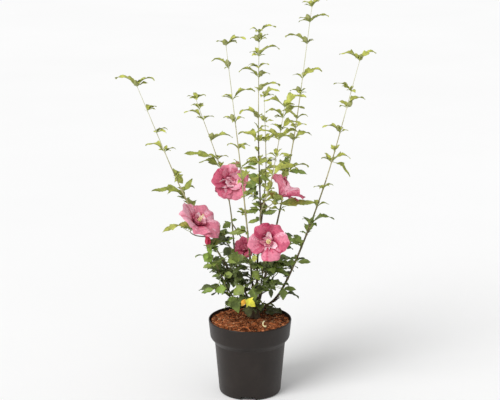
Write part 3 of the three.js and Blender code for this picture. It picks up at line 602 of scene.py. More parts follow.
def cane_curve(cane):
    knee = vec(*cane["knee"])
    out = unit(vec(knee[0] - TRUNK_FOOT[0], knee[1] - TRUNK_FOOT[1], 0))
    foot = TRUNK_FOOT + UP * TRUNK_HEIGHT * FORK_AT + out * FORK_RADIUS
    return Curve([foot, knee, cane["waist"], cane["tip"]])


# The turns of left, right, front and back leaves about the upright, in degrees.
TOWARDS = dict(l=180, r=0, f=270, b=90)


def draw_leaf(kind, draw):
    """A leaf's size, lean and roll."""
    return between(draw, kind["size"]), draw(), spread(draw, kind["roll"])


def leaf_organ(kind, base, azimuth, length, rise, droop, roll, full=False):
    """A leaf of one kind, from its rise and droop in degrees. A full one has lobes."""
    return dict(base=base, full=full, azimuth=azimuth, length=length, rise=math.radians(rise),
                droop=math.radians(droop), roll=roll, fold=kind["fold"], lobe=kind["lobe"])


def rule_leaf(kind, base, azimuth, length, lean, roll, full, steeper=0.0):
    """A leaf as the source stands it: the more it leans, the more it rises and droops."""
    rise = kind["rise"] + steeper + kind["rise_lean"] * lean
    droop = kind["droop"] + kind["droop_lean"] * lean
    return leaf_organ(kind, base, azimuth, length, rise, droop, roll, full)


def grow_joint(word, base, along, youth, draw):
    """The leaves and buds of a joint. Each letter of its word is a leaf to the left, right, front or
    back, a large one in capitals, or a bud (o) or opening bud (p) over the leaf before it."""
    kind = SHOOT_LEAF
    organs = []
    last = 0
    for letter in word:
        turn = math.radians(spread(draw, kind["turn"]))
        size, lean, roll = draw_leaf(kind, draw)
        if letter in "op":
            direction = unit(way(last + turn) * BUD["outward"] + along * BUD["upward"])
            organs.append(dict(base=base, along=direction, opening=letter == "p"))
            continue
        full = letter.isupper()
        last = math.radians(TOWARDS[letter.lower()]) + turn
        length = (kind["large"] if full else kind["small"]) * size * (1 - kind["shrink"] * youth)
        organs.append(rule_leaf(kind, base, last, length, lean, roll, full, kind["rise_youth"] * youth))
    return organs


def grow_shoot(joints, curve, draw):
    organs = []
    for i, (at, word) in enumerate(joints.items()):
        youth = i / (len(joints) - 1) if len(joints) > 1 else 1
        organs += grow_joint(word, curve.at(at), curve.along(at), youth, draw)
    return organs


def grow_twig(base, azimuth, rise, length, draw, level=0):
    """A leafy twig as a list of twigs, the stem first."""
    kind = FOOT_LEAF
    middle = base + way(azimuth, rise) * length / 2
    end = middle + way(azimuth, rise + math.radians(TWIG["bend"])) * length / 2
    curve = Curve([base, middle, end])
    radius = taper(TWIG["side"] if level else TWIG["foot"], TWIG["tip"])
    twig = dict(curve=curve, radius=radius, organs=[], joints=[], azimuth=azimuth, rise=rise)
    twigs = [twig]
    joints = TWIG["side_joints"] if level else TWIG["joints"]
    for i in range(1, joints + 1):
        side = 1 if i % 2 else -1
        turn = spread(draw, kind["end_turn"]) if i == joints else side * between(draw, kind["turn"])
        size, lean, roll = draw_leaf(kind, draw)
        at = min(i / joints, TWIG["end"])
        twig["joints"].append(at)
        length_here = kind["large"] * size * (1 - kind["shrink"] * level)
        turned = azimuth + math.radians(turn)
        full = size > kind["full_from"]
        twig["organs"].append(rule_leaf(kind, curve.at(at), turned, length_here, lean, roll, full))
        if not level and i in TWIG["forks"]:
            fork = azimuth - side * math.radians(between(draw, TWIG["fork_turn"]))
            fork_rise = rise + math.radians(TWIG["fork_rise"])
            start = curve.at(i / joints)
            twigs += grow_twig(start, fork, fork_rise, length * TWIG["fork_length"], draw, 1)
    return twigs


class Limbs:
    """Every limb by name, and all of them in short straight lengths, to test what a leaf runs into."""

    def __init__(self):
        self.known = {}
        self.starts, self.ends, self.radii = [], [], []

    def add(self, name, curve, start, end, radius):
        self.known[name] = dict(curve=curve, start=start, end=end, radius=radius)
        shares = np.linspace(start, end, 2 + int(curve.length * (end - start) / 12))
        points = np.array([curve.at(share) for share in shares])
        for a, b, share in zip(points[:-1], points[1:], shares[:-1]):
            self.starts.append(a)
            self.ends.append(b)
            self.radii.append(radius(share))

    def place(self, name, at):
        limb = self.known[name]
        return limb["curve"].at(limb["start"] + (limb["end"] - limb["start"]) * at)

    def nearest(self, point):
        """The place on any limb nearest to a point."""
        line = self.ends - self.starts
        share = np.clip(((point - self.starts) * line).sum(1) / (line**2).sum(1), 0, 1)
        places = self.starts + share[:, None] * line
        return places[np.argmin(np.linalg.norm(places - point, axis=1))]

    def freeze(self):
        self.starts, self.ends = np.array(self.starts), np.array(self.ends)
        self.radii = np.array(self.radii)

    def touch(self, points, base):
        """Whether points come too near a limb, apart from close to the leaf's own foot."""
        far = points[np.linalg.norm(points - base, axis=1) > LIMB_ROOM["root"]]
        if not len(far):
            return False
        line = self.ends - self.starts
        share = np.einsum("psi,si->ps", far[:, None] - self.starts, line) / (line**2).sum(1)
        nearest = self.starts + np.clip(share, 0, 1)[..., None] * line
        distance = np.linalg.norm(far[:, None] - nearest, axis=2)
        return bool((distance < self.radii + LIMB_ROOM["clearance"]).any())


limbs = Limbs()


def from_trunk(x, y):
    return np.hypot(x - TRUNK_FOOT[0], y - TRUNK_FOOT[1])


def soil_height(x, y):
    out = np.hypot(x, y) / POT["rim"]
    a, b, c, d = SOIL["waves"]
    waves = np.sin(x * a + 1) * np.cos(y * b) + 0.6 * np.sin(x * c - y * d)
    surface = SOIL["edge"] + SOIL["bump"] * waves * (1 - out**4)
    away = smooth(from_trunk(x, y), SOIL["level"], SOIL["level"] + SOIL["fade"])
    return lerp(TRUNK_FOOT[2] - GAP, surface, away)


class Head:
    """A flower's own frame, and its stalk."""

    def __init__(self, flower, draw):
        self.facing = unit(vec(*flower["facing"]))
        self.out = unit(np.cross(self.facing, UP))
        self.sideways = unit(np.cross(self.facing, self.out))
        self.radius = flower["radius"]
        self.reach = flower["radius"] * flower["open"]
        self.depth = flower["radius"] * (FLOWER["depth"] + FLOWER["shut"] * (1 - flower["open"]))
        self.base = vec(*flower["centre"]) - self.facing * FLOWER["sunk"] * self.depth
        count = FLOWER["petals"] * FLOWER["per_petal"]
        self.start = 2 * math.pi * draw() / count
        for _ in range(count):
            spread(draw, FLOWER["ruffle"])
        self.back = self.at(0, FLOWER["stalk_at"], 0)

    def at(self, radius, height, turn):
        radius, height, turn = np.broadcast_arrays(*(np.asarray(v, float) for v in (radius, height, turn)))
        return (self.base + self.out * (radius * np.cos(turn))[..., None]
                + self.sideways * (radius * np.sin(turn))[..., None] + self.facing * height[..., None])

    def turn_to(self, direction):
        """The turn about the flower's axis that points most nearly in a direction."""
        return math.atan2(direction @ self.sideways, direction @ self.out)

    def holds(self, points):
        """Whether any of the points lies in the space of the petals."""
        local = points - self.base
        height = local @ self.facing
        radius = np.linalg.norm(local - height[:, None] * self.facing, axis=1)
        margin = FLOWER["margin"]
        share = np.clip((height + margin) / self.depth, 0, 1)
        room = FLOWER["core"] + (self.reach - margin) * share**0.8
        inside = (height > FLOWER["stalk_at"]) & (height < self.depth + margin) & (radius < room)
        return bool(inside.any())

    def stalk(self, foot):
        lead = STALK["lead"] * np.linalg.norm(foot - self.back)
        behind = self.back - self.facing * lead
        end = self.back + self.facing * STALK["sink"]
        return Curve([foot, lerp(foot, behind, STALK["reach"]), lerp(behind, self.back, 0.5), end])


# Leaves. Half an outline is rows of (share of the blade at its rib, share at its edge, half width).
# The rows slant forward as veins do, and the changing widths make lobes and teeth.
FULL_OUTLINE = np.array([
    (0.00, 0.00, 0.04), (0.05, 0.09, 0.20), (0.10, 0.17, 0.44), (0.14, 0.25, 0.66), (0.18, 0.28, 0.66),
    (0.21, 0.37, 0.88), (0.25, 0.45, 1.00), (0.30, 0.455, 0.76), (0.34, 0.475, 0.63), (0.38, 0.50, 0.54),
    (0.43, 0.57, 0.62), (0.47, 0.585, 0.54), (0.53, 0.665, 0.56), (0.57, 0.68, 0.46), (0.64, 0.765, 0.45),
    (0.68, 0.78, 0.35), (0.76, 0.86, 0.30), (0.80, 0.875, 0.21), (0.88, 0.945, 0.15), (0.93, 0.96, 0.08),
    (1.00, 1.00, 0.02),
])
PLAIN_OUTLINE = np.array([
    (0.00, 0.00, 0.05), (0.06, 0.10, 0.36), (0.13, 0.21, 0.70), (0.19, 0.30, 0.90), (0.24, 0.33, 0.86),
    (0.30, 0.43, 1.00), (0.36, 0.46, 0.90), (0.43, 0.55, 0.94), (0.49, 0.575, 0.80), (0.57, 0.68, 0.78),
    (0.63, 0.70, 0.62), (0.71, 0.80, 0.54), (0.77, 0.83, 0.38), (0.86, 0.92, 0.26), (0.92, 0.945, 0.14),
    (1.00, 1.00, 0.03),
])
TINY_OUTLINE = np.array([
    (0.00, 0.00, 0.08), (0.12, 0.18, 0.60), (0.28, 0.38, 1.00), (0.46, 0.53, 0.92), (0.62, 0.70, 0.68),
    (0.80, 0.87, 0.34), (1.00, 1.00, 0.04),
])
COLUMNS = np.array([-1, -0.55, 0, 0.55, 1])


class Rib:
    """The line of a leaf's stalk and midrib, with the frame of its blade."""

    STEPS = 32

    def __init__(self, points, along, side, roll):
        self.points = points
        face = unit(np.cross(along, side))
        roll = np.asarray(roll)[:, None]
        self.across = side * np.cos(roll) + face * np.sin(roll)
        self.face = face * np.cos(roll) - side * np.sin(roll)
        self.shares = np.linspace(0, 1, len(points))

    def at(self, share):
        return [
            np.stack([np.interp(share, self.shares, values[:, i]) for i in range(3)], -1)
            for values in (self.points, self.across, self.face)
        ]


def rule_rib(organ, twist):
    """The midrib as the source draws it: up at its rise, and over by its droop."""
    shares = np.linspace(0, 1, Rib.STEPS + 1)
    outward = way(organ["azimuth"])
    slope = (organ["rise"] - organ["droop"] * shares**CURL)[:, None]
    along = outward * np.cos(slope) + UP * np.sin(slope)
    steps = (along[1:] + along[:-1]) / 2 * organ["length"] / Rib.STEPS
    points = organ["base"] + np.concatenate([[vec(0, 0, 0)], np.cumsum(steps, 0)])
    side = np.broadcast_to(unit(np.cross(UP, outward)), along.shape)
    return Rib(points, along, side, organ["roll"] + twist * shares)


def bent_rib(base, tip, lift, tilt, twist):
    """A midrib from one place to another that arches up on the way, with its face turned from
    the sky by `tilt` degrees towards the viewer."""
    shares = np.linspace(0, 1, Rib.STEPS + 1)[:, None]
    middle = lerp(base, tip, 0.55) + UP * lift
    points = bend(base, middle, tip, shares)
    along = unit(2 * (middle - base) * (1 - shares) + 2 * (tip - middle) * shares)
    tilt = math.radians(tilt)
    side = unit(np.cross(vec(0, -math.sin(tilt), math.cos(tilt)), along))
    return Rib(points, along, side, twist * (shares[:, 0] - 0.5))


def leaf_surface(rib, outline, start, half, fold, wave):
    """The middle surface of a blade that begins at share `start` of its rib."""
    out = abs(COLUMNS)
    share = outline[:, :1] + (outline[:, 1:2] - outline[:, :1]) * out**1.2
    point, across, face = rib.at(start + (1 - start) * share)
    reach = half * outline[:, 2:] * out
    length = np.linalg.norm(rib.points[-1] - rib.points[0])
    phase = rng.random(2) * 2 * np.pi
    side_phase = np.where(COLUMNS < 0, phase[0], phase[1])
    ruffle = wave * np.sin(2 * np.pi * 1.7 * share + side_phase) * out**2
    veins = np.where(np.arange(len(outline)) % 2, 1, -1)[:, None] * 0.011 * length * out * (1 - out) * 4
    height = reach * np.sin(fold) * (1 - 0.35 * out) + ruffle + veins
    return point + across * (np.sign(COLUMNS) * reach * np.cos(fold))[..., None] + face * height[..., None]


def under_of(name):
    """The look of the underside of a leaf."""
    if name in ("yellow", "orange"):
        return UNDER["yellow"]
    # Leaves darkened with painted shade keep a darkened underside.
    if name == "shade":
        return UNDER["shade"]
    return UNDER["young"] if name in ("tip", "young", "fresh") else UNDER["old"]


def add_leaf(pile, rib, name, full, lobe, fold, start, tiny=False, slim=0.0):
    """A leaf with its stalk, a thin closed blade in its own outline and a raised midrib beneath.
    `slim` is how much narrower its outer half is."""
    length = np.linalg.norm(np.diff(rib.points, axis=0), axis=1).sum()
    blade = length * (1 - start)
    outline = (TINY_OUTLINE if tiny else FULL_OUTLINE if full else PLAIN_OUTLINE).copy()
    outline[:, 2] *= 1 - slim * smooth(outline[:, 0], 0.25, 0.55)
    if not tiny:
        outline[1:-1, 2] *= 1 + wobble(0.16, len(outline) - 2)
    half = lobe * blade * (1.08 if full else 0.86)
    middle = leaf_surface(rib, outline, start, half, fold, 0.05 * blade)
    thick = lerp(EDGE, RIDGE, 1 - abs(COLUMNS)) * min(1, blade / 25 + 0.3)
    thin(pile, middle, thick, LEAF[name], under_of(name))
    steps, reach, width = (4, 0.3, 0.35) if tiny else (9, 0.72, 0.75)
    shares = np.linspace(0, start + (1 - start) * reach, steps)
    point, _, face = rib.at(shares)
    sink = np.where(shares > start, 0.22, 0.0)[:, None]
    tube(pile, point - face * sink, lerp(width, 0.12, shares), STEM["stalk"], 4, True)


def outline_points(rib, half):
    """A few points of a leaf, to test what it would run into: down its middle, then down each side."""
    shares, widths = np.array(LEAF_TEST).T
    point, across, _ = rib.at(shares)
    wide = half * widths[:, None]
    return np.concatenate([point, point + across * wide, point - across * wide])


def meets_pot(points):
    """Whether any of the points is in the pot's rim or in the soil, or too near."""
    x, y, height = points.T
    radius = np.hypot(x, y)
    near, far = POT_ROOM["rim"]
    in_rim = (radius > near) & (radius < far) & (height < POT["height"] + POT_ROOM["over_rim"])
    in_soil = (radius <= POT_ROOM["inside"]) & (height < soil_height(x, y) + POT_ROOM["over_soil"])
    return bool((in_rim | in_soil).any())


# Gaps low in the shrub where the background shows: their middle and half size, as they lie in the
# upright plane through the pot's axis when they are seen from the camera.
OPEN_PLACES = [
    ((36, 223), (15, 14)), ((93, 264), (14, 10)), ((91, 216), (20, 14)), ((67, 271), (9, 7)),
    ((-75, 216), (22, 11)), ((-36, 226), (7, 6)), ((-99, 264), (16, 14)), ((-75, 259), (6, 4)),
    ((54, 218), (6, 6)), ((66, 234), (11, 12)), ((11, 259), (4, 8)), ((34, 277), (6, 5)),
    ((-102, 340), (6, 12)),
]


def in_open_place(points):
    """Whether any of the points is in front of or behind one of the open places."""
    nearer = -CAMERA_PLACE[1] / MM / (points[:, 1] - CAMERA_PLACE[1] / MM)
    x = points[:, 0] * nearer
    z = lerp(CAMERA_PLACE[2] / MM, points[:, 2], nearer)
    return any(
        bool(((((x - place[0]) / size[0]) ** 2 + ((z - place[1]) / size[1]) ** 2) < 1).any())
        for place, size in OPEN_PLACES
    )


def blocked(rib, half, base):
    """Whether a leaf would hide an open place or run into a limb, the pot or a flower."""
    points = outline_points(rib, half)
    count = len(LEAF_TEST)
    if in_open_place(points[count : 2 * count]) or in_open_place(points[1:count]):
        return True
    return limbs.touch(points, base) or meets_pot(points) or any(head.holds(points) for head in heads)


# How far a leaf may be turned about the upright to clear what it runs into, in the order of trial.
TURNS = [0, 0.4, -0.4, 0.8, -0.8, 1.2, -1.2]


def leaf_class(height, lucky, young, draw):
    """The name of a leaf's colour: yellow-green on high shoots, darker low down and inside. Two random
    shares vary it."""
    tone = LEAF_TONE
    value = smooth(height, tone["low"], tone["high"]) + (draw - 0.5) * tone["spread"] + tone["young"] * young
    if value > tone["tip"]:
        return "tip"
    names = ["dark", "full", "mid", "fresh", "young"]
    index = int(np.clip(value / tone["tip"] * len(names), 0, len(names) - 1))
    if names[index] in ("full", "mid") and lucky > tone["bright"]:
        return "bright"
    return names[index]


def place_leaf(pile, organ, young, tiny=False, start=STALK_SHARE, slim=0.0):
    """Adds a leaf where the rule has it, or turned until it clears the limbs, flowers and pot."""
    name = leaf_class(organ["base"][2], rng.random(), young, rng.random())
    half = organ["lobe"] * organ["length"] * (1 - STALK_SHARE)
    twist = wobble(0.7)
    for turn in TURNS:
        rib = rule_rib({**organ, "azimuth": organ["azimuth"] + turn}, twist)
        if not blocked(rib, half, organ["base"]):
            add_leaf(pile, rib, name, organ["full"], organ["lobe"], organ["fold"], start, tiny, slim)
            return


# Buds.
def add_blade(pile, base, direction, length, width, lift, look):
    """A narrow pointed bract or stipule, that bends up by `lift` of its length."""
    shares = np.linspace(0, 1, 6)
    side = unit(np.cross(direction, UP + vec(0.01, 0.02, 0)))
    rise = unit(np.cross(side, direction))
    line = base + direction * (shares * length)[:, None] + rise * (lift * shares**2 * length)[:, None]
    half = width / 2 * np.array([0.6, 1, 0.95, 0.75, 0.45, 0.04])
    middle = line[:, None] + side * (np.array([-1, 0, 1]) * half[:, None])[..., None]
    thin(pile, middle, np.array([0.1, 0.2, 0.1]), look, look)


def around(direction, turn):
    """A direction at right angles to another, turned round it."""
    start = unit(np.cross(direction, vec(0.3, 0.1, 1.0) if abs(direction[2]) < 0.9 else vec(1, 0, 0)))
    other = np.cross(direction, start)
    return start * math.cos(turn) + other * math.sin(turn)


def lathe_on(pile, base, direction, stations, looks, ribs=5, depth=0.08, sides=15, twist=0.0, size=(1, 1)):
    """A ribbed body round a line, from (height, radius) stations, which are shares of a `size`."""
    angle = angles(sides)
    side = around(direction, 0)
    other = np.cross(direction, side)
    rings = []
    for i, (height, radius) in enumerate(stations):
        turn = angle + twist * i
        wave = size[1] * radius * (1 + depth * np.cos(ribs * angle))
        rings.append(base + direction * (size[0] * height) + side * (wave * np.cos(turn))[:, None]
                     + other * (wave * np.sin(turn))[:, None])
    ends = [base + direction * (size[0] * stations[i][0]) for i in (0, -1)]
    if isinstance(looks, list):
        looks = [pile.look(look) for look in looks]
    add_shell(pile, np.array(rings), ends, looks)


# The bodies of buds, in shares of their half length and half width, and how long their sepals are.
CUP = [(0, 0.3), (0.08, 0.62), (0.25, 0.92), (0.5, 1.02), (0.75, 0.95), (0.8, 0.6)]
BLOOM = [(0.6, 0.5), (0.85, 0.88), (1.15, 1.0), (1.45, 0.92), (1.75, 0.62), (1.95, 0.28), (2.0, 0.05)]
GREEN_BUD = [(0, 0.3), (0.1, 0.6), (0.35, 0.9), (0.8, 1.04), (1.2, 0.96), (1.6, 0.66), (1.85, 0.34),
             (2.0, 0.1)]
SEPAL = dict(green=0.75, opening=0.7, width=1.4, lift=-0.2)


def add_bud(pile, bud):
    """A bud in its calyx on a short stalk, with the narrow bracts below it."""
    kind = "opening" if bud["opening"] else "green"
    size = BUD[kind]
    direction = bud["along"]
    end = bud["base"] + direction * BUD["stalk"]
    line = bud["base"] + direction * (np.linspace(0, 1.1, 5) * BUD["stalk"])[:, None]
    tube(pile, line, np.linspace(0.75, 1.1, 5), STEM["stalk"], 6)
    if bud["opening"]:
        # Opening buds from that height up take the darker rose of painted shade.
        bloom = BUD_LOOK["rose" if bud["base"][2] < BLUSH["painted_shade_from"] else "rose_painted_shade"]
        lathe_on(pile, end, direction, CUP, BUD_LOOK["calyx"], size=size)
        lathe_on(pile, end, direction, BLOOM, bloom, 5, 0.16, 20, 0.28, size)
    else:
        top = BUD_LOOK["blush" if bud["base"][2] < BLUSH["below"] else "green"]
        lathe_on(pile, end, direction, GREEN_BUD, [BUD_LOOK["green"]] * 4 + [top] * 3, size=size)
    long = size[0] * SEPAL[kind]
    for i in range(BUD["bracts"]):
        out = around(direction, 2 * math.pi * (i + 0.3) / BUD["bracts"])
        lean = unit(direction * 0.95 + out * 0.6)
        foot = end + out * 0.5 * size[1]
        add_blade(pile, foot, lean, long, SEPAL["width"], SEPAL["lift"], BUD_LOOK["calyx"])


# Flowers.
def blade_grid(rows, columns, start=0.0):
    """Shares along a petal from `start`, and across it from -1 to 1."""
    return np.linspace(start, 1, rows)[:, None], np.linspace(-1, 1, columns)[None, :]


def petal_looks(share, offset, rows, columns, pile, painted_side_light=0.0):
    """A shade for each face of a petal: deep at the throat and lighter out, in streaks along it, and
    lighter on one side by `painted_side_light`, which is painted light and shade."""
    u, v = blade_grid(rows - 1, columns - 1)
    streak = np.repeat(wobble(0.26, columns // 2 + 1), 2)[: columns - 1]
    border = wobble(0.05, (rows - 1, 1))
    value = lerp(*share, smooth(u, 0.02, 0.62)) + streak * (1 - 0.6 * u) + border + offset
    # Painted light and shade: one side of the petal is made lighter than the other.
    value = value + painted_side_light * v * u
    index = np.clip(np.round(value * (len(PETAL) - 1)), 0, len(PETAL) - 1).astype(int)
    return np.array([pile.look(material) for material in PETAL])[index]


def cup_height(head, radius):
    """The height of the cup's surface at a distance from the axis."""
    return head.depth * (1 - np.clip(1 - radius / head.reach, 0, 1) ** 1.75)


# An outer petal: its rows and columns of points, where it begins as a share of its length, its half
# angle there and how much that grows, how much its corners are drawn in, how far one side lies over
# the next petal, its half thickness, and the waves of its ruffle as (height, how late they come,
# pace across it).
OUTER_PETAL = dict(rows=19, columns=23, start=0.05, angle=25, wider=23, corners=0.22, overlap=3.6,
                   thick=0.28)
RUFFLE = [(4.8, 2.5, 3.8), (1.8, 5, 10.5)]

# How light a petal is at its throat and farther out, above and beneath.
TOP_SHADES = (0.02, 0.62)
UNDER_SHADES = (0.5, 0.72)


def add_petal(pile, head, turn, size, lean, tone, painted_side_light, notch):
    """One of the five outer petals: fan-shaped, ruffled at the rim, one side over its neighbour. It is
    shorter at its sides by a share `notch` of its length."""
    p = OUTER_PETAL
    u, v = blade_grid(p["rows"], p["columns"], p["start"])
    half_angle = math.radians(p["angle"]) + math.radians(p["wider"]) * smooth(u, p["start"], 0.6)
    crimp = rng.random(6) * 2 * np.pi
    rim = 1 - notch * abs(v) ** 2.5 - p["corners"] * v**8
    rim = rim + 0.03 * np.sin(7 * v + crimp[0]) * u + 0.02 * np.sin(13 * v + crimp[5]) * u
    radius = head.reach * size * u * rim
    height = cup_height(head, radius / size) + p["overlap"] * v * u + lean * u**1.3
    for (high, late, pace), begin in zip(RUFFLE, crimp[1:3]):
        height = height + high * u**late * np.sin(pace * v + begin)
    height = height - (3 + 3 * math.sin(crimp[3])) * u**6 - 3 * u * (1 - v**2)
    height = height + 1.2 * np.sin(7.5 * v + crimp[4]) * u * (1.4 - u)
    surface = head.at(radius * (1 - 0.011 * max(lean, 0) * u), height, turn + v * half_angle)
    looks = [petal_looks(shades, tone, p["rows"], p["columns"], pile, painted_side_light)
             for shades in (TOP_SHADES, UNDER_SHADES)]
    thin(pile, surface, p["thick"], *looks)


# A small petal of the heart: its rows and columns of points, how high it begins as a share of the
# cup's depth, and its half thickness.
SMALL_PETAL = dict(rows=10, columns=11, foot=0.12, thick=0.22)


def add_petaloid(pile, head, turn, length, stand, tone, broad=0.5, core=3.0):
    """A small crumpled petal in the heart of the flower, that starts `core` from its axis."""
    rows, columns = SMALL_PETAL["rows"], SMALL_PETAL["columns"]
    u, v = blade_grid(rows, columns)
    crimp = rng.random(4) * 2 * np.pi
    angle = stand + 0.25 - (0.7 + 0.35 * math.sin(crimp[3])) * u
    run = np.cumsum(np.cos(angle) * length / (rows - 1), 0) + core
    rise = np.cumsum(np.sin(angle) * length / (rows - 1), 0) + SMALL_PETAL["foot"] * head.depth
    width = length * broad * (0.25 + 0.75 * np.sin(np.pi * (0.08 + 0.74 * u)) ** 0.7)
    curl = 0.26 * length * v**2 + 0.09 * length * np.sin(5 * v + crimp[0]) * u
    twist = 0.6 * math.sin(crimp[1]) * u
    across = width * v * np.cos(twist)
    run = run - curl * np.sin(stand) * 0.6 - width * v * np.sin(twist) * 0.6
    rise = rise + curl * np.cos(stand) + 0.1 * length * np.sin(6 * u + crimp[2]) * v
    surface = head.at(np.hypot(run, across), rise, turn + np.arctan2(across, np.maximum(run, 0.5)))
    looks = petal_looks((tone - 0.12, tone + 0.16), 0, rows, columns, pile)
    thin(pile, surface, SMALL_PETAL["thick"], looks, looks)


# The turn from each part of a spiral to the next.
GOLDEN_TURN = 2.4

# The column of stamens: its height in shares of the cup's depth, its radii, where the anthers begin
# and how far up they go, their reach from the axis, and the five tips of the style.
ANTHER = [(0, 0.2), (0.4, 0.75), (1.0, 0.85), (1.5, 0.25)]
COLUMN = dict(height=1.12, radii=(1.7, 0.8), first=0.55, up=0.5, reach=(3.4, 1.4), tips=5)


def add_stamens(pile, head):
    """The column of stamens with its anthers and the tips of the style."""
    heights = np.linspace(0, COLUMN["height"], 9) * head.depth
    line = head.at(0 * heights, heights, 0 * heights)
    tube(pile, line, np.linspace(*COLUMN["radii"], 9), STAMEN, 8)
    count = FLOWER["anthers"]
    for i in range(count):
        turn = i * GOLDEN_TURN
        height = head.depth * (COLUMN["first"] + COLUMN["up"] * i / count)
        reach = pick(*COLUMN["reach"])
        foot = head.at(1.0, height - 1.5, turn)
        tip = head.at(reach, height, turn)
        tube(pile, np.linspace(foot, tip, 3), [0.22, 0.2, 0.18], STAMEN, 3)
        lathe_on(pile, tip - head.facing * 0.8, head.facing, ANTHER, STAMEN, 3, 0.1, 6)
    for i in range(COLUMN["tips"]):
        turn = 2 * math.pi * i / COLUMN["tips"]
        foot = head.at(0.3, head.depth * 1.1, turn)
        tip = head.at(2.4, head.depth * 1.24, turn)
        tube(pile, np.linspace(foot, tip, 4), [0.3, 0.28, 0.35, 0.6], STAMEN, 4)


# The green cup behind a flower as (height, radius), one of its teeth, and one of the bracts below it.
CALYX = [(-14.5, 1.3), (-11, 3.0), (-7, 4.9), (-2, 6.2), (2, 7.4), (1, 5.0)]
TOOTH = dict(radius=(6.6, 12.5), rise=8, foot=-2.6, width=5.2, shape=[1, 1, 0.85, 0.6, 0.32, 0.04])
BRACT = dict(out=3.2, height=-10, length=10, width=1.6, lift=0.25)


def add_calyx(pile, head):
    """The green cup behind the petals, with its teeth and a ring of bracts."""
    look = BUD_LOOK["calyx"]
    lathe_on(pile, head.base, head.facing, CALYX, look, 5, 0.05, 20)
    radius = np.linspace(*TOOTH["radius"], 6)
    height = np.linspace(0, TOOTH["rise"], 6) + TOOTH["foot"]
    width = TOOTH["width"] * np.array(TOOTH["shape"])
    for i in range(FLOWER["petals"]):
        turn = head.start + 2 * math.pi * (i + 0.5) / FLOWER["petals"]
        rows = [head.at(r, h, turn + np.array([-1, 0, 1]) * w / r) for r, h, w in zip(radius, height, width)]
        thin(pile, np.array(rows), np.array([0.15, 0.25, 0.15]), look, look)
    for i in range(FLOWER["bracts"]):
        turn = 2 * math.pi * i / FLOWER["bracts"]
        foot = head.at(BRACT["out"], BRACT["height"], turn)
        out = unit(head.at(1, 0, turn) - head.base)
        lean = unit(out * 0.9 + head.facing * 0.45)
        add_blade(pile, foot, lean, BRACT["length"], BRACT["width"], BRACT["lift"], look)


# How each flower looks. Its first outer petal points towards `first`, and the others follow evenly.
# `notch` is how deep the rim is cut between them, as a share of a petal's length. Each petal is (how
# many degrees it is turned off its even place, its length as a share of the reach, how many
# millimetres its rim is raised, how much lighter it is, and how much lighter on one side). How much
# lighter a petal is holds its own tone together with painted shade and painted light, and its lighter
# side is painted light and shade. `double` small petals crowd the heart, with `length` as a share of
# the radius, and `inner` are others that stand out, as (where it points, length, stand, breadth, how
# light).
FLOWER_LOOKS = {
    "front": dict(
        first=(-0.44, 0, 0.9), notch=0.27,
        petals=[(0, 0.95, 2, -0.22, 0.05), (0, 1.03, 2, 0.02, -0.1), (20, 1, 0, 0.04, 0.1),
                (20, 1.02, 2, -0.06, 0.24), (7, 0.93, 0, -0.12, -0.1)],
        double=12, length=(0.2, 0.36), tone=0.66, stamens=True,
        inner=[((0.1, 0, 1), 24, 0.8, 0.28, 0.84), ((0.8, 0, -0.7), 23, 0.65, 0.34, 0.84),
               ((-0.2, 0, -1), 23, 0.65, 0.3, 0.74), ((-0.7, 0, 0.6), 22, 0.6, 0.4, 0.6)],
    ),
    "left": dict(
        first=(-0.7, 0.37, 0.62), notch=0.14,
        petals=[(0, 1.03, -5, 0.16, 0.1), (-16, 0.98, -5, 0.14, 0), (-12, 0.88, -5, 0.06, 0),
                (-22, 1.12, -6, 0.1, 0.1), (-4, 1.03, -2, 0.1, -0.1)],
        double=14, length=(0.2, 0.4), tone=0.5, stamens=True,
        inner=[((0.3, 0.6, 0.5), 24, 0.9, 0.5, 0.8), ((-0.3, 0.6, 0.6), 20, 0.9, 0.4, 0.7)],
    ),
    "upper_left": dict(
        first=(-0.14, 0, 0.99), notch=0.22,
        petals=[(0, 1.03, 0, 0.12, -0.2), (-10, 1.08, 2, -0.2, 0.1), (-10, 1, 0, -0.04, 0.1),
                (-20, 1.04, 0, 0.02, 0), (-12, 1.06, 4, 0.06, 0.1)],
        double=20, length=(0.22, 0.42), tone=0.76, stamens=False,
        inner=[((-0.9, 0, 0.4), 34, 0.35, 0.6, 0.36), ((-0.7, 0, -0.7), 33, 0.4, 0.55, 0.54),
               ((0, 0, 1), 32, 0.5, 0.6, 0.5), ((0.7, 0, 0.6), 30, 0.7, 0.55, 0.66),
               ((0.9, 0, -0.5), 29, 0.8, 0.5, 0.72), ((0.1, 0, -1), 31, 0.6, 0.55, 0.6),
               ((-0.9, 0, -0.2), 26, 0.7, 0.4, 0.84)],
    ),
    "upper_right": dict(
        first=(0, -1, 0.1), notch=0.12,
        petals=[(-10, 1.04, 5, 0.12, 0.16), (-10, 1.14, 9, -0.14, 0), (0, 1.12, 2, -0.14, 0),
                (0, 1.04, 2, -0.1, 0), (0, 1.1, 2, -0.02, 0)],
        double=9, length=(0.2, 0.36), tone=0.55, stamens=False, inner=[],
    ),
    # The flower behind has all its petals darker: painted shade.
    "behind": dict(
        first=(0, 0, 1), notch=0.2,
        petals=[(0, 1.06, 0, -0.14, 0), (0, 1.06, 0, -0.08, 0), (0, 1, 0, -0.14, 0), (0, 1, 0, -0.14, 0),
                (0, 1.06, 0, -0.1, 0)],
        double=10, length=(0.3, 0.5), tone=0.5, stamens=False, inner=[],
    ),
}


# How the small petals of the heart stand, from the outer ones in, and how much their shade varies.
HEART = dict(stand=(0.75, 1.35), spread=0.25, shade=0.44)


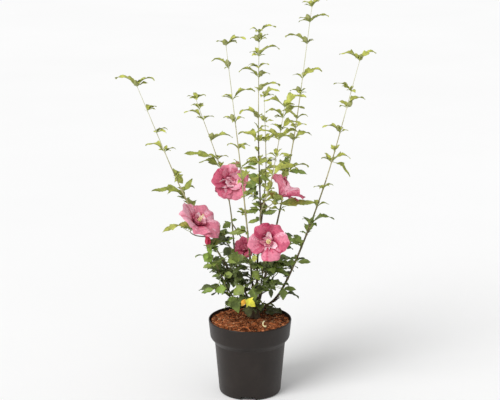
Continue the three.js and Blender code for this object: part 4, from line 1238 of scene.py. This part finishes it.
def add_flower(petals, greens, stamens, head, looks):
    first = head.turn_to(vec(*looks["first"]))
    for i, (shift, size, lean, tone, painted_side_light) in enumerate(looks["petals"]):
        turn = first + 2 * math.pi * i / FLOWER["petals"] + math.radians(shift)
        add_petal(petals, head, turn, size, lean, tone, painted_side_light, looks["notch"])
    ring = 2 * math.pi * rng.random()
    count = looks["double"]
    shortest, longest = looks["length"]
    for i in range(count):
        share = (i + rng.random()) / count
        length = head.radius * lerp(longest, shortest, share) * pick(0.8, 0.4)
        stand = lerp(*HEART["stand"], share) + HEART["spread"] * rng.random()
        tone = looks["tone"] + wobble(HEART["shade"])
        core = 3.0 if looks["stamens"] else 4 * share**2 - 1
        turn = ring + i * GOLDEN_TURN + 0.5 * rng.random()
        add_petaloid(petals, head, turn, length, stand, tone, core=core)
    for towards, length, stand, broad, tone in looks["inner"]:
        add_petaloid(petals, head, head.turn_to(vec(*towards)), length, stand, tone, broad)
    if looks["stamens"]:
        add_stamens(stamens, head)
    add_calyx(greens, head)


# Stems. Each cane pales with height: where it turns from bark to brown, olive, pale and faint.
PALES_AT = {
    "far_left": (290, 330, 430, 560), "left": (300, 340, 470, 620), "middle_left": (290, 330, 380, 640),
    "right": (290, 420, 490, 690), "far_right": (270, 400, 510, 640), "centre": (560, 585, 610, 740),
    "back": (505, 515, 530, 590), "front": (290, 350, 420, 640),
}
PALES_ELSEWHERE = (285, 390, 500, 700)


def stem_look(height, pile, cane):
    names = ["bark", "brown", "olive", "pale", "faint"]
    tones = np.searchsorted(PALES_AT.get(cane, PALES_ELSEWHERE), height)
    return np.array([pile.look(STEM[names[int(tone)]]) for tone in tones])


def add_stem(pile, curve, start, end, radius, joints, sides=10, step=2.2, rough=0.07, cane=""):
    """A limb with the relief of its bark and a swelling at each joint."""
    count = max(6, int(curve.length * (end - start) / step))
    shares = np.linspace(start, end, count)
    points = np.array([curve.at(share) for share in shares])
    size = np.array([radius(share) * lerp(1, SLENDER, share) for share in shares])
    for joint in joints:
        away = (shares - joint) * curve.length / NODE_SWELL["length"]
        size = size * (1 + NODE_SWELL["share"] * np.exp(-(away**2)))
    along = (shares * curve.length)[:, None]
    relief = 0
    for (depth, turns, pace), begin in zip(BARK_WAVES, rng.random(4) * 2 * np.pi):
        relief = relief + depth * np.sin(pace * along + turns * angles(sides) + begin)
    relief = relief + wobble(0.8, (count, sides))
    age = smooth(points[:, 2], SMOOTH_ABOVE, ROUGH_BELOW)[:, None]
    radii = size[:, None] * (1 + rough * relief * (0.35 + 0.65 * age))
    height = points[:-1, 2] + wobble(40, count - 1)
    tube(pile, points, radii, stem_look(height, pile, cane), sides)


# How many rings the trunk has, and sides.
TRUNK_GRID = (26, 40)


def add_trunk(pile):
    """The trunk: flared and ridged at the foot, and knobbly where the boughs leave it."""
    rows, sides = TRUNK_GRID
    shares = np.linspace(0, 1, rows)
    radius = np.interp(shares, *zip(*TRUNK_PROFILE))
    points = TRUNK_FOOT + UP * (shares * TRUNK_HEIGHT)[:, None]
    angle = angles(sides)
    flare = (1 - shares)[:, None] ** 2
    ridges = 0.09 * flare * np.cos(5 * angle + 0.6) + 0.03 * np.cos(11 * angle + 6 * shares[:, None])
    radii = radius[:, None] * (0.97 + ridges + wobble(0.035, (rows, sides)))
    radii[-1] *= 0.8
    tube(pile, points, radii, STEM["bark"], sides)


def place_organs(leaves, buds, organs, young):
    """Adds the leaves and buds that the source's rule gives a stem."""
    for organ in organs:
        if "opening" in organ:
            add_bud(buds, organ)
        elif young:
            place_leaf(leaves, organ, young, start=SHOOT_STALK, slim=SLIM)
        else:
            place_leaf(leaves, organ, young)


def small_leaf(kind, base, azimuth, size):
    """A leaf that only the scene has. How it stands varies freely."""
    rise = pick(*kind["rise"])
    droop = pick(*kind["droop"])
    return leaf_organ(kind, base, azimuth, size, rise, droop, wobble(kind["roll"]))


def add_spurs(leaves, curve, joints, leaf, count, young):
    """Small leaves and thin stipules in the angle of each joint."""
    kind = SPUR_LEAF
    for joint in joints:
        base = curve.at(joint)
        for _ in range(count):
            if rng.random() < kind["missing"]:
                continue
            size = leaf * lerp(*kind["size"], rng.random())
            azimuth = rng.random() * 2 * math.pi
            place_leaf(leaves, small_leaf(kind, base, azimuth, size), young, tiny=size < kind["tiny"])
        along = curve.along(joint)
        for side in (0, math.pi):
            out = around(along, side + 3 * rng.random())
            lean = unit(out + along * 0.8)
            foot = base + out * STIPULE["out"]
            length = pick(*STIPULE["length"])
            add_blade(leaves, foot, lean, length, STIPULE["width"], STIPULE["lift"], STEM["stalk"])


def add_fine_twig(stems, leaves, base, azimuth, rise, length):
    """A twig of the finest kind, grown on by the same rule with smaller leaves."""
    out = way(azimuth, rise)
    middle = base + out * length * 0.5
    curve = Curve([base, middle, middle + unit(out + UP * 0.3) * length * 0.5])
    ends = np.array([curve.at(0.5), curve.at(1.0)])
    if limbs.touch(ends, base) or any(head.holds(ends[1:]) for head in heads):
        return
    twig = FINE_TWIG
    add_stem(stems, curve, 0, 1, taper(twig["radius"], twig["tip"]), (), 5, 3)
    for i, joint in enumerate(twig["joints"]):
        side = 1 if i % 2 else -1
        turn = wobble(twig["end_turn"]) if i == 2 else side * pick(*twig["turn"])
        size = twig["leaf"] * pick(*twig["size"])
        place_leaf(leaves, small_leaf(twig, curve.at(joint), azimuth + turn, size), 0)


# Leaves that stand out in the photograph: where the blade begins, where its tip is, how high it
# arches, its colour, whether it has lobes, its half width and how far it faces the viewer.
FEATURE_LEAVES = [
    ((-11, -74, 243), (12, -76, 227), 4, "yellow", True, 0.44, 72),
    ((-10, -70, 244), (-19, -72, 227), 1, "orange", False, 0.36, 80),
    # This leaf's dark colour is painted shade.
    ((-5, -55, 224), (-3, -58, 196), 3, "shade", True, 0.5, 75),
    ((-40, -48, 243), (-26, -52, 204), 3, "full", True, 0.4, 70),
    ((-40, -44, 242), (-44, -46, 216), 2, "bright", True, 0.4, 60),
    ((-53, -42, 259), (-78, -44, 251), 4, "bright", True, 0.5, 60),
    ((-80, -40, 257), (-109, -40, 247), 4, "bright", False, 0.24, 50),
    ((-11, -40, 263), (-38, -42, 242), 4, "mid", True, 0.46, 60),
    ((5, -40, 262), (11, -44, 230), 3, "full", True, 0.46, 65),
    ((-39, -30, 289), (-60, -32, 284), 2, "mid", False, 0.46, 60),
    # Fallen leaves on the mulch at the back on the right, darkened with painted shade.
    ((36, 70, 177), (60, 52, 171), 3, "shade", True, 0.4, 30),
    ((52, 64, 175), (74, 40, 171), 2, "shade", False, 0.4, 30),
    ((30, 70, 176), (24, 50, 170), 2, "shade", False, 0.4, 30),
    ((34, 46, 173), (56, 34, 170), 3, "shade", True, 0.4, 20),
    ((66, 50, 174), (50, 36, 171), 2, "shade", False, 0.4, 15),
    ((-94, -54, 364), (-86, -58, 342), 2, "bright", False, 0.3, 75),
    ((-96, -43, 343), (-102, -45, 326), 2, "bright", False, 0.5, 70),
    ((-84, -43, 352), (-70, -45, 352), 2, "bright", False, 0.4, 60),
    ((5, -34, 298), (22, -36, 276), 3, "mid", True, 0.46, 60),
    ((-69, -25, 285), (-86, -26, 281), 2, "full", False, 0.3, 40),
    ((-18, -24, 327), (-52, -26, 315), 4, "mid", True, 0.4, 60),
    ((-50, -24, 330), (-6, -26, 322), 3, "full", True, 0.3, 50),
    ((-43, 4, 342), (-60, 2, 322), 2, "dark", False, 0.46, 60),
    ((-82, -28, 333), (-103, -32, 319), 2, "bright", False, 0.5, 75),
    ((-84, -30, 309), (-106, -31, 304), 4, "mid", False, 0.34, 45),
    ((11, -56, 343), (9, -60, 326), 1, "young", False, 0.42, 75),
    ((24, -30, 303), (91, -34, 287), 10, "full", True, 0.15, 55),
    ((18, -20, 254), (45, -22, 246), 4, "full", False, 0.32, 55),
    ((34, -15, 267), (58, -18, 246), 7, "full", True, 0.4, 55),
    ((47, -15, 251), (48, -17, 228), 2, "dark", False, 0.3, 60),
    ((76, -18, 252), (75, -20, 224), 3, "full", True, 0.42, 65),
    ((76, -12, 248), (105, -14, 246), 4, "full", False, 0.28, 45),
    ((75, -8, 256), (59, -10, 264), 1, "full", False, 0.3, 45),
    ((108, -10, 311), (138, -13, 312), 3, "full", False, 0.28, 45),
    ((104, -10, 310), (80, -12, 308), 2, "full", False, 0.34, 45),
    ((116, -16, 358), (88, -18, 366), 3, "full", False, 0.34, 60),
    ((116, -16, 360), (98, -18, 378), 1, "full", False, 0.36, 60),
    ((60, -72, 464), (145, -66, 464), 6, "fresh", True, 0.13, 60),
    ((62, -70, 464), (47, -72, 469), 1, "fresh", False, 0.5, 60),
    ((21, 38, 396), (-5, 34, 390), 3, "mid", False, 0.25, 50),
    ((21, 38, 396), (13, 34, 405), 1, "full", False, 0.4, 60),
    ((22, 38, 422), (-8, 30, 414), 3, "full", True, 0.26, 60),
    ((24, 40, 428), (3, 38, 436), 2, "mid", False, 0.25, 50),
    ((30, 34, 412), (62, 30, 422), -3, "full", False, 0.22, 45),
    ((17, 38, 484), (-12, 30, 474), 3, "full", True, 0.36, 60),
    ((17, 38, 478), (-9, 30, 455), 3, "full", True, 0.3, 60),
    ((18, 40, 464), (9, 36, 453), 1, "dark", False, 0.5, 60),
    ((19, 40, 498), (-3, 38, 501), 3, "full", False, 0.3, 55),
    ((21, 40, 498), (46, 38, 486), 6, "mid", True, 0.24, 55),
    ((18, 42, 528), (-4, 40, 526), 2, "full", False, 0.34, 50),
    ((18, 42, 530), (3, 40, 538), 1, "fresh", False, 0.34, 50),
    ((19, 42, 530), (40, 40, 537), 2, "fresh", False, 0.36, 50),
    ((88, 62, 504), (130, 58, 498), 9, "full", True, 0.2, 50),
    ((87, 62, 520), (66, 58, 508), 3, "dark", True, 0.5, 65),
    ((86, 62, 526), (79, 58, 539), 1, "full", False, 0.5, 60),
    ((86, 58, 511), (73, 54, 491), 2, "fresh", True, 0.46, 60),
    ((-18, -70, 544), (16, -76, 543), 5, "fresh", False, 0.16, 40),
    ((-148, -16, 478), (-218, -30, 481), 12, "fresh", True, 0.13, 45),
    ((-87, 80, 534), (-150, 76, 542), 9, "fresh", True, 0.15, 40),
    ((-158, -24, 402), (-196, -36, 388), 6, "young", True, 0.2, 50),
    ((-128, -22, 396), (-160, -34, 404), 7, "young", False, 0.3, 60),
    ((-166, -18, 516), (-149, -22, 497), 3, "young", True, 0.5, 65),
    ((-146, -17, 480), (-128, -20, 509), -2, "fresh", False, 0.24, 60),
    ((-43, 70, 386), (-29, 62, 390), 2, "full", False, 0.3, 50),
    ((-43, 70, 382), (-63, 62, 370), 2, "full", True, 0.44, 60),
    ((-9, -8, 382), (-49, 2, 374), 4, "mid", True, 0.24, 50),
    ((-10, -8, 384), (-21, 2, 393), 1, "full", False, 0.4, 55),
    ((188, -36, 548), (219, -50, 519), 20, "fresh", True, 0.14, 25),
]


def add_feature_leaves(leaves):
    for near, tip, lift, name, full, lobe, tilt in FEATURE_LEAVES:
        start = vec(*near)
        base = limbs.nearest(start)
        rib = bent_rib(start, vec(*tip), lift, tilt, wobble(0.5))
        add_leaf(leaves, rib, name, full, lobe, 0.2, 0.02)
        apart = np.linalg.norm(start - base)
        sag = lerp(base, start, 0.5) - UP * 0.1 * apart
        if start[2] > FALLEN_BELOW and apart > 1:
            line = bend(base, sag, start, np.linspace(0, 1, 6)[:, None])
            tube(leaves, line, np.full(len(line), 0.6), STEM["stalk"], 5)


# Grow the plant: the limbs first, as in the source.
def grow_boughs():
    for cane in FROM_TRUNK:
        radius = taper(cane["radius"], TIP_RADIUS if "joints" in cane else cane["radius"] * BLUNT)
        limbs.add("bough_" + cane["name"], cane_curve(cane), 0, cane.get("leafy", 1), radius)


def grow_shoots():
    """The shoots, each as (name, curve, where it starts, leaves and buds, joints)."""
    shoots = []
    fork_tip = vec(*FORK["tip"]) - UP
    for i, cane in enumerate([*CANES, *FORK_SHOOTS]):
        if "leafy" in cane:
            curve = cane_curve(cane)
            start = cane["leafy"]
        else:
            curve = Curve([fork_tip, cane["knee"], cane["waist"], cane["tip"]])
            start = 0
        limbs.add("shoot_" + cane["name"], curve, start, 1, taper(cane["radius"], TIP_RADIUS))
        organs = grow_shoot(cane["joints"], curve, random_from(SEEDS["shoots"] + i))
        shoots.append((cane["name"], curve, start, organs, list(cane["joints"])))
    return shoots


def grow_blooms():
    """The flowers, each as (name, its frame, its stalk's curve, leaves and buds, joints)."""
    blooms = []
    for i, flower in enumerate(FLOWERS):
        draw = random_from(SEEDS["flowers"] + i)
        head = Head(flower, draw)
        curve = head.stalk(limbs.place(flower["on"], flower["at"]))
        limbs.add("flower_" + flower["name"], curve, 0, 1, taper(STALK["foot"], STALK["tip"]))
        organs = grow_shoot(flower["joints"], curve, draw)
        blooms.append((flower["name"], head, curve, organs, list(flower["joints"])))
    return blooms


def grow_low_twigs():
    """The leafy twigs at the foot, all in one list."""
    low_twigs = []
    for i, (name, on, at, azimuth, rise, length) in enumerate(LOW_TWIGS):
        foot = limbs.place(on, at)
        draw = random_from(SEEDS["twigs"] + i)
        twigs = grow_twig(foot, math.radians(azimuth), math.radians(rise), length, draw)
        limbs.add("foliage_" + name, twigs[0]["curve"], 0, 1, twigs[0]["radius"])
        low_twigs += twigs
    return low_twigs


# Then the fine meshes.
def dress_boughs():
    for cane in FROM_TRUNK:
        limb = limbs.known["bough_" + cane["name"]]
        marks = np.arange(BOUGH_JOINTS["first"], limb["end"], BOUGH_JOINTS["apart"])
        add_stem(wood, limb["curve"], 0, limb["end"], limb["radius"], marks, 14, 1.6, 0.1, cane["name"])


def dress_shoots():
    for name, curve, start, organs, joints in shoots:
        add_stem(stems, curve, start, 1, limbs.known["shoot_" + name]["radius"], joints, cane=name)
        place_organs(leaves_high, buds, organs, 1)
        add_spurs(leaves_high, curve, joints, SPUR_LEAF["shoot"], 4, 1)


def dress_blooms():
    for name, head, curve, organs, joints in blooms:
        add_stem(stems, curve, 0, 1, taper(STALK["foot"], STALK["tip"]), joints, 8)
        place_organs(leaves_flower, buds, organs, 0.6)
        add_flower(petals[name], greens, stamens, head, FLOWER_LOOKS[name])


def dress_low_twigs():
    for twig in low_twigs:
        curve, joints = twig["curve"], twig["joints"]
        add_stem(stems, curve, 0, 1, twig["radius"], joints, 6, 3)
        place_organs(leaves_low, buds, twig["organs"], 0)
        add_spurs(leaves_finest, curve, joints[1::2], SPUR_LEAF["foot"], 1, 0)
        for k, joint in enumerate(joints[1:-1]):
            base = curve.at(joint)
            turn = pick(*FINE_TWIG["fork"]) * (1 if k % 2 else -1)
            length = curve.length * FINE_TWIG["length"] * pick(*FINE_TWIG["varies"])
            if base[2] < FINE_TWIG["lowest"] or rng.random() < FINE_TWIG["missing"]:
                continue
            rise = pick(twig["rise"], FINE_TWIG["steeper"])
            add_fine_twig(stems, leaves_finest, base, twig["azimuth"] + turn, rise, length)


# The mulch: a rough bed, with fibres and chips of bark lying on it, all inside the radius INNER.
# `shares` are those of the colours, dark first, `clear` is how near the trunk's middle a piece may
# lie, `within` how near the edge, and a pair is the low end and how far it may rise.
INNER = 90.6
BED = dict(rings=40, sides=128, sunk=1.2, rough=1.3, lighter=0.4)
BED_WALL = [(88.4, 136), (77.6, 124), (67.5, 12)]
FIBRES = dict(count=5200, shares=[0.18, 0.27, 0.27, 0.19, 0.09], clear=13, margin=2, length=(4, 15),
              width=(0.6, 1.2), lift=(0.2, 2.2), bend=0.9, tilt=0.22, arch=0.1, within=0.6)
CHIPS = dict(count=420, shares=[0.3, 0.32, 0.26, 0.12], clear=15, margin=5, size=(3, 7),
             lift=(0.6, 1.8), tilt=0.5, ragged=0.8, within=1)
PEEL_CURL = dict(x=33, y=-33, z=173.5, wide=4, high=4.8, long=12, turn=4.2, radius=(2.5, 1.7))


def make_bed():
    bed = Pile()
    sides = BED["sides"]
    out = np.linspace(0, 1, BED["rings"])[:, None]
    angle = angles(sides)[None]
    x, y = INNER * out * np.cos(angle), INNER * out * np.sin(angle)
    z = soil_height(x, y) - BED["sunk"] + wobble(BED["rough"], x.shape) * (out > 0)
    z[0] = z[0].mean()
    top = np.stack([x, y, z], -1)
    walls = [top[-1] / INNER * vec(radius, radius, 0) + UP * z for radius, z in BED_WALL]
    shell = np.concatenate([top[1:], walls])
    faces = shell_faces(len(shell), sides)
    bands = len(faces) - 2 * sides
    looks = np.full(len(faces), bed.look(MULCH[0]))
    looks[:bands][rng.random(bands) < BED["lighter"]] = bed.look(MULCH[1])
    bed.add(np.concatenate([shell.reshape(-1, 3), [top[0, 0], UP * BED_WALL[-1][1]]]), faces, looks)
    return bed


def mostly_low(size, power):
    """A random size, more often near the low end."""
    return size[0] + size[1] * rng.random() ** power


def mulch_spot(margin):
    radius = (INNER - margin) * math.sqrt(rng.random())
    angle = 2 * math.pi * rng.random()
    return radius * math.cos(angle), radius * math.sin(angle)


def mulch_look(x, y, shares):
    """A shade for a piece of bark. The bark is darker at the back on the right, and a little at the front:
    painted shade."""
    painted_shade = max(smooth(0.5 * x + 0.85 * y, 5, 75), 0.6 * smooth(-y, 25, 75))
    value = rng.random() ** (1 + 1.5 * painted_shade)
    return MULCH[int(np.searchsorted(np.cumsum(shares)[:-1], value))]


def add_fibre(pile, x, y, look):
    """A bent strip of bark fibre."""
    length = mostly_low(FIBRES["length"], 1.6)
    width = mostly_low(FIBRES["width"], 2)
    turn = 2 * math.pi * rng.random()
    shares = np.linspace(-0.5, 0.5, 5)
    heading = turn + wobble(FIBRES["bend"]) * shares * 2
    px = x + length * shares * np.cos(heading)
    py = y + length * shares * np.sin(heading)
    pull = np.minimum(1, (INNER - FIBRES["within"]) / np.maximum(np.hypot(px, py), 1e-6))
    px, py = px * pull, py * pull
    tilt = wobble(FIBRES["tilt"])
    arch = rng.random() * FIBRES["arch"]
    low, room = FIBRES["lift"]
    soil = soil_height(px, py)
    z = soil + low + room * rng.random() + length * (tilt * shares + arch * (0.25 - shares**2))
    line = np.stack([px, py, np.maximum(z, soil - 0.6)], -1)
    if np.min(from_trunk(px, py)) < FIBRES["clear"]:
        return
    flat = np.array([0.4, 0.9, 1, 0.8, 0.35])[:, None] * width / 2 * np.array([1.0, 0.6, 0.8])
    tube(pile, line, flat, look, 3)


def add_chip(pile, x, y, look):
    """A flat chip of bark with ragged sides."""
    size = mostly_low(CHIPS["size"], 1.5)
    turn = 2 * math.pi * rng.random()
    long_way = vec(math.cos(turn), math.sin(turn), wobble(CHIPS["tilt"]))
    line = np.array([long_way * size * share for share in (-0.5, -0.3, 0.1, 0.36, 0.5)])
    low, room = CHIPS["lift"]
    z = soil_height(x, y) + low + room * rng.random()
    line = line + vec(x, y, z) + wobble(CHIPS["ragged"], (5, 3))
    far = np.hypot(line[:, 0], line[:, 1]).max()
    if far > INNER - CHIPS["within"] or from_trunk(x, y) < CHIPS["clear"]:
        return
    wide = size * pick(0.2, 0.16)
    shape = np.array([1.0, 0.9, 0.28, 0.9, 1.0, 0.9, 0.28, 0.9])
    radii = np.array([0.45, 0.95, 1, 0.8, 0.35])[:, None] * shape * wide
    tube(pile, line, radii * (0.85 + 0.3 * rng.random((5, 8))), look, 8)


def scatter(kind, add):
    """Pieces of one kind, spread over the mulch."""
    pile = Pile()
    for _ in range(kind["count"]):
        x, y = mulch_spot(kind["margin"])
        add(pile, x, y, mulch_look(x, y, kind["shares"]))
    return pile


def make_peel():
    """A pale curl of peel on the mulch, in front of the trunk."""
    p = PEEL_CURL
    t = np.linspace(0, 1, 14)
    x = p["x"] - p["wide"] * np.sin(t * p["turn"])
    z = p["z"] + p["high"] * np.cos(t * p["turn"])
    line = np.stack([x, p["y"] - p["long"] * t, z], -1)
    peel = Pile()
    tube(peel, line, np.array([1.0, 0.5, 1.0, 0.5]) * lerp(*p["radius"], t)[:, None], PEEL, 4)
    return peel


# The pot: turned walls, with the drainage channels and holes cut out of the floor. The corners of
# its outside and inside are rounded by so much, from the foot up.
OUTER_CORNERS = [0, 5.5, 2.2, 3.2, 0.8, 0.9, 0.9, 0]
INNER_CORNERS = [0, 4, 2.2, 3, 0.8, 0, 0]
CORNER_STEPS = 6
POT_SHARP = 35


def rounded(points, radii):
    """A profile with its corners rounded."""
    made = []
    for i, (point, radius) in enumerate(zip(points, radii)):
        point = np.array(point, float)
        if not radius or i in (0, len(points) - 1):
            made.append(point)
            continue
        before = unit(np.array(points[i - 1], float) - point)
        after = unit(np.array(points[i + 1], float) - point)
        start, end = point + before * radius, point + after * radius
        made += [bend(start, point, end, t) for t in np.linspace(0, 1, CORNER_STEPS)]
    return made


def solid(name, points, faces):
    """An object of the pot's plastic, from points in millimetres."""
    mesh = bpy.data.meshes.new(name)
    mesh.from_pydata((np.array(points) * MM).tolist(), [], faces)
    mesh.materials.append(POT_LOOK)
    return show(bpy.data.objects.new(name, mesh))


def lathe_mesh(name, profile, sides=180, centre=(0, 0, 0)):
    """A closed solid of revolution, from a profile that begins and ends on the axis."""
    circle = np.stack([np.cos(angles(sides)), np.sin(angles(sides)), np.zeros(sides)], -1)
    rings = [circle * radius + UP * z for radius, z in profile[1:-1]]
    ends = [UP * profile[0][1], UP * profile[-1][1]]
    faces = shell_faces(len(rings), sides)[:, ::-1]
    faces = [[int(k) for k in face if k >= 0] for face in faces]
    return solid(name, np.concatenate([*rings, ends]) + vec(*centre), faces)


BOX_FACES = [(0, 1, 3, 2), (4, 6, 7, 5), (0, 4, 5, 1), (2, 3, 7, 6), (0, 2, 6, 4), (1, 5, 7, 3)]


def box_mesh(name, turn, margin):
    """A drainage channel as a box, larger than the channel by a margin."""
    half = POT["channel_width"] / 2 + margin
    top = POT["channel_height"] + margin
    reach = (POT["pad"] - margin, POT["rim"])
    corners = [(x, y, z) for x in reach for y in (-half, half) for z in (-top, top)]
    c, s = math.cos(turn), math.sin(turn)
    points = [(x * c - y * s, x * s + y * c, z) for x, y, z in corners]
    return solid(name, points, BOX_FACES)


# How low and high the cutter of a drain hole reaches.
DRAIN_CUT = (-5, 25)


def drain_mesh(name, turn):
    """A drain hole's cutter, that reaches through the floor."""
    radius = POT["drain"]
    low, high = DRAIN_CUT
    profile = [(0, low), (radius, low), (radius, high), (0, high)]
    return lathe_mesh(name, profile, 28, way(turn) * POT["drain_at"])


def cut(piece, cutters):
    """The piece less its cutters, which are removed."""
    for cutter in cutters:
        change = piece.modifiers.new("cut", "BOOLEAN")
        change.operation = "DIFFERENCE"
        change.solver = "EXACT"
        change.object = cutter
    graph = bpy.context.evaluated_depsgraph_get()
    mesh = bpy.data.meshes.new_from_object(piece.evaluated_get(graph))
    piece.modifiers.clear()
    piece.data = mesh
    for cutter in cutters:
        bpy.data.objects.remove(cutter)
    return piece


def make_pot():
    p = POT
    wall, height, rim = p["wall"], p["height"], p["rim"]
    outside = rounded(
        [(0, 0), (p["foot"] - 0.5, 0), (p["body"], p["shoulder"]), (p["collar"], p["collar_foot"]),
         (rim - 0.4, height - 4.2), (rim, height - 2.6), (p["lip_radius"], height), (0, height)],
        OUTER_CORNERS,
    )
    inside = rounded(
        [(0, p["floor"]), (p["foot"] - wall - 1, p["floor"]), (p["body"] - wall, p["shoulder"] + 1),
         (p["collar"] - wall, p["collar_foot"] + 1), (rim - 2.5, height - 3), (rim - 2.2, height + 20),
         (0, height + 20)],
        INNER_CORNERS,
    )
    pot = lathe_mesh("pot_shell", outside)
    hollow = lathe_mesh("pot_hollow", inside)
    turns = [math.radians(p["channel_turn"] + 360 * i / p["channels"]) for i in range(p["channels"])]
    hollow = cut(hollow, [box_mesh(f"cover_{i}", turn, wall) for i, turn in enumerate(turns)])
    cutters = [box_mesh(f"channel_{i}", turn, 0) for i, turn in enumerate(turns)]
    cutters += [drain_mesh(f"drain_{i}", turn) for i, turn in enumerate(turns)]
    pot = cut(pot, [hollow, *cutters])
    pot.data.polygons.foreach_set("use_smooth", np.ones(len(pot.data.polygons), bool))
    pot.data.set_sharp_from_angle(angle=math.radians(POT_SHARP))
    dress(pot, ["pot"])


def make_plant():
    boughs = ["bough_" + cane["name"] for cane in FROM_TRUNK]
    shoot_nodes = ["shoot_" + shoot[0] for shoot in shoots]
    foliage_nodes = ["foliage_" + twig[0] for twig in LOW_TWIGS]
    trunk_pile.make("trunk_bark", "bark", ["trunk"])
    wood.make("bough_bark", "bark", boughs)
    stems.make("green_stems", "young_growth", shoot_nodes + foliage_nodes)
    leaves_high.make("leaves_of_shoots", "young_growth", shoot_nodes)
    leaves_low.make("leaves_of_foot", "leaves", foliage_nodes)
    leaves_finest.make("leaves_of_fine_twigs", "leaves")
    leaves_flower.make("leaves_by_flowers", "young_growth")
    buds.make("buds", "young_growth")
    greens.make("calyxes", "young_growth")
    stamens.make("stamens", "blossom")
    for name, pile in petals.items():
        pile.make("petals_" + name, "blossom", ["flower_" + name])


# The studio: the floor's half width in metres, the brightness of the surroundings, and the light.
FLOOR_REACH = 20
WORLD_STRENGTH = 0.6
KEY_LIGHT = dict(place=(-2.2, -2.2, 2.7), strength=2.1, width=35)
SENSOR = 36


def make_floor():
    mesh = bpy.data.meshes.new("floor")
    corners = [(x * FLOOR_REACH, y * FLOOR_REACH, 0) for x, y in ((-1, -1), (1, -1), (1, 1), (-1, 1))]
    mesh.from_pydata(corners, [], [(0, 1, 2, 3)])
    mesh.materials.append(
        patchy("studio_paper", [(246, 246, 246), (249, 249, 249)], 2.0, 0.0, 40, (0.9, 1.0), shine=0.0)
    )
    show(bpy.data.objects.new("floor", mesh))


def soft_light(name, place, strength, width):
    """A broad soft light from far off in the direction of a place, so that it falls evenly."""
    data = bpy.data.lights.new(name, "SUN")
    data.energy = strength
    data.angle = math.radians(width)
    lamp = show(bpy.data.objects.new(name, data))
    x, y, z = place
    lamp.rotation_euler = (math.atan2(math.hypot(x, y), z), 0, math.atan2(x, -y))
    lamp.location = place


def make_studio():
    make_floor()
    world = bpy.data.worlds.new("studio")
    world.use_nodes = True
    background = world.node_tree.nodes["Background"]
    background.inputs["Color"].default_value = (1, 1, 1, 1)
    background.inputs["Strength"].default_value = WORLD_STRENGTH
    bpy.context.scene.world = world
    soft_light("key", **KEY_LIGHT)
    bpy.context.scene.view_settings.view_transform = "Standard"


def make_camera():
    data = bpy.data.cameras.new("camera")
    data.sensor_width = SENSOR
    data.lens = data.sensor_width * CAMERA_REACH
    camera = show(bpy.data.objects.new("camera", data))
    camera.location = CAMERA_PLACE
    camera.rotation_euler = (math.radians(90 - CAMERA_PITCH), 0, 0)
    bpy.context.scene.camera = camera


# Everything is grown and made in this order, which is that of the random draws.
trunk_pile, wood, stems = Pile(), Pile(), Pile()
leaves_high, leaves_low, leaves_finest, leaves_flower = Pile(), Pile(), Pile(), Pile()
buds, greens, stamens = Pile(), Pile(), Pile()
petals = {flower["name"]: Pile() for flower in FLOWERS}

add_trunk(trunk_pile)
grow_boughs()
shoots = grow_shoots()
blooms = grow_blooms()
heads = [bloom[1] for bloom in blooms]
low_twigs = grow_low_twigs()
limbs.freeze()
dress_boughs()
dress_shoots()
dress_blooms()
dress_low_twigs()
add_feature_leaves(leaves_low)
bed = make_bed()
fibres = scatter(FIBRES, add_fibre)
chips = scatter(CHIPS, add_chip)
make_pot()
bed.make("mulch_bed", "mulch", ["soil"], 80)
fibres.make("mulch_fibres", "mulch", ["soil"], 60)
chips.make("mulch_chips", "mulch", ["soil"], 40)
make_peel().make("pale_peel", "mulch")
make_plant()
make_studio()
make_camera()
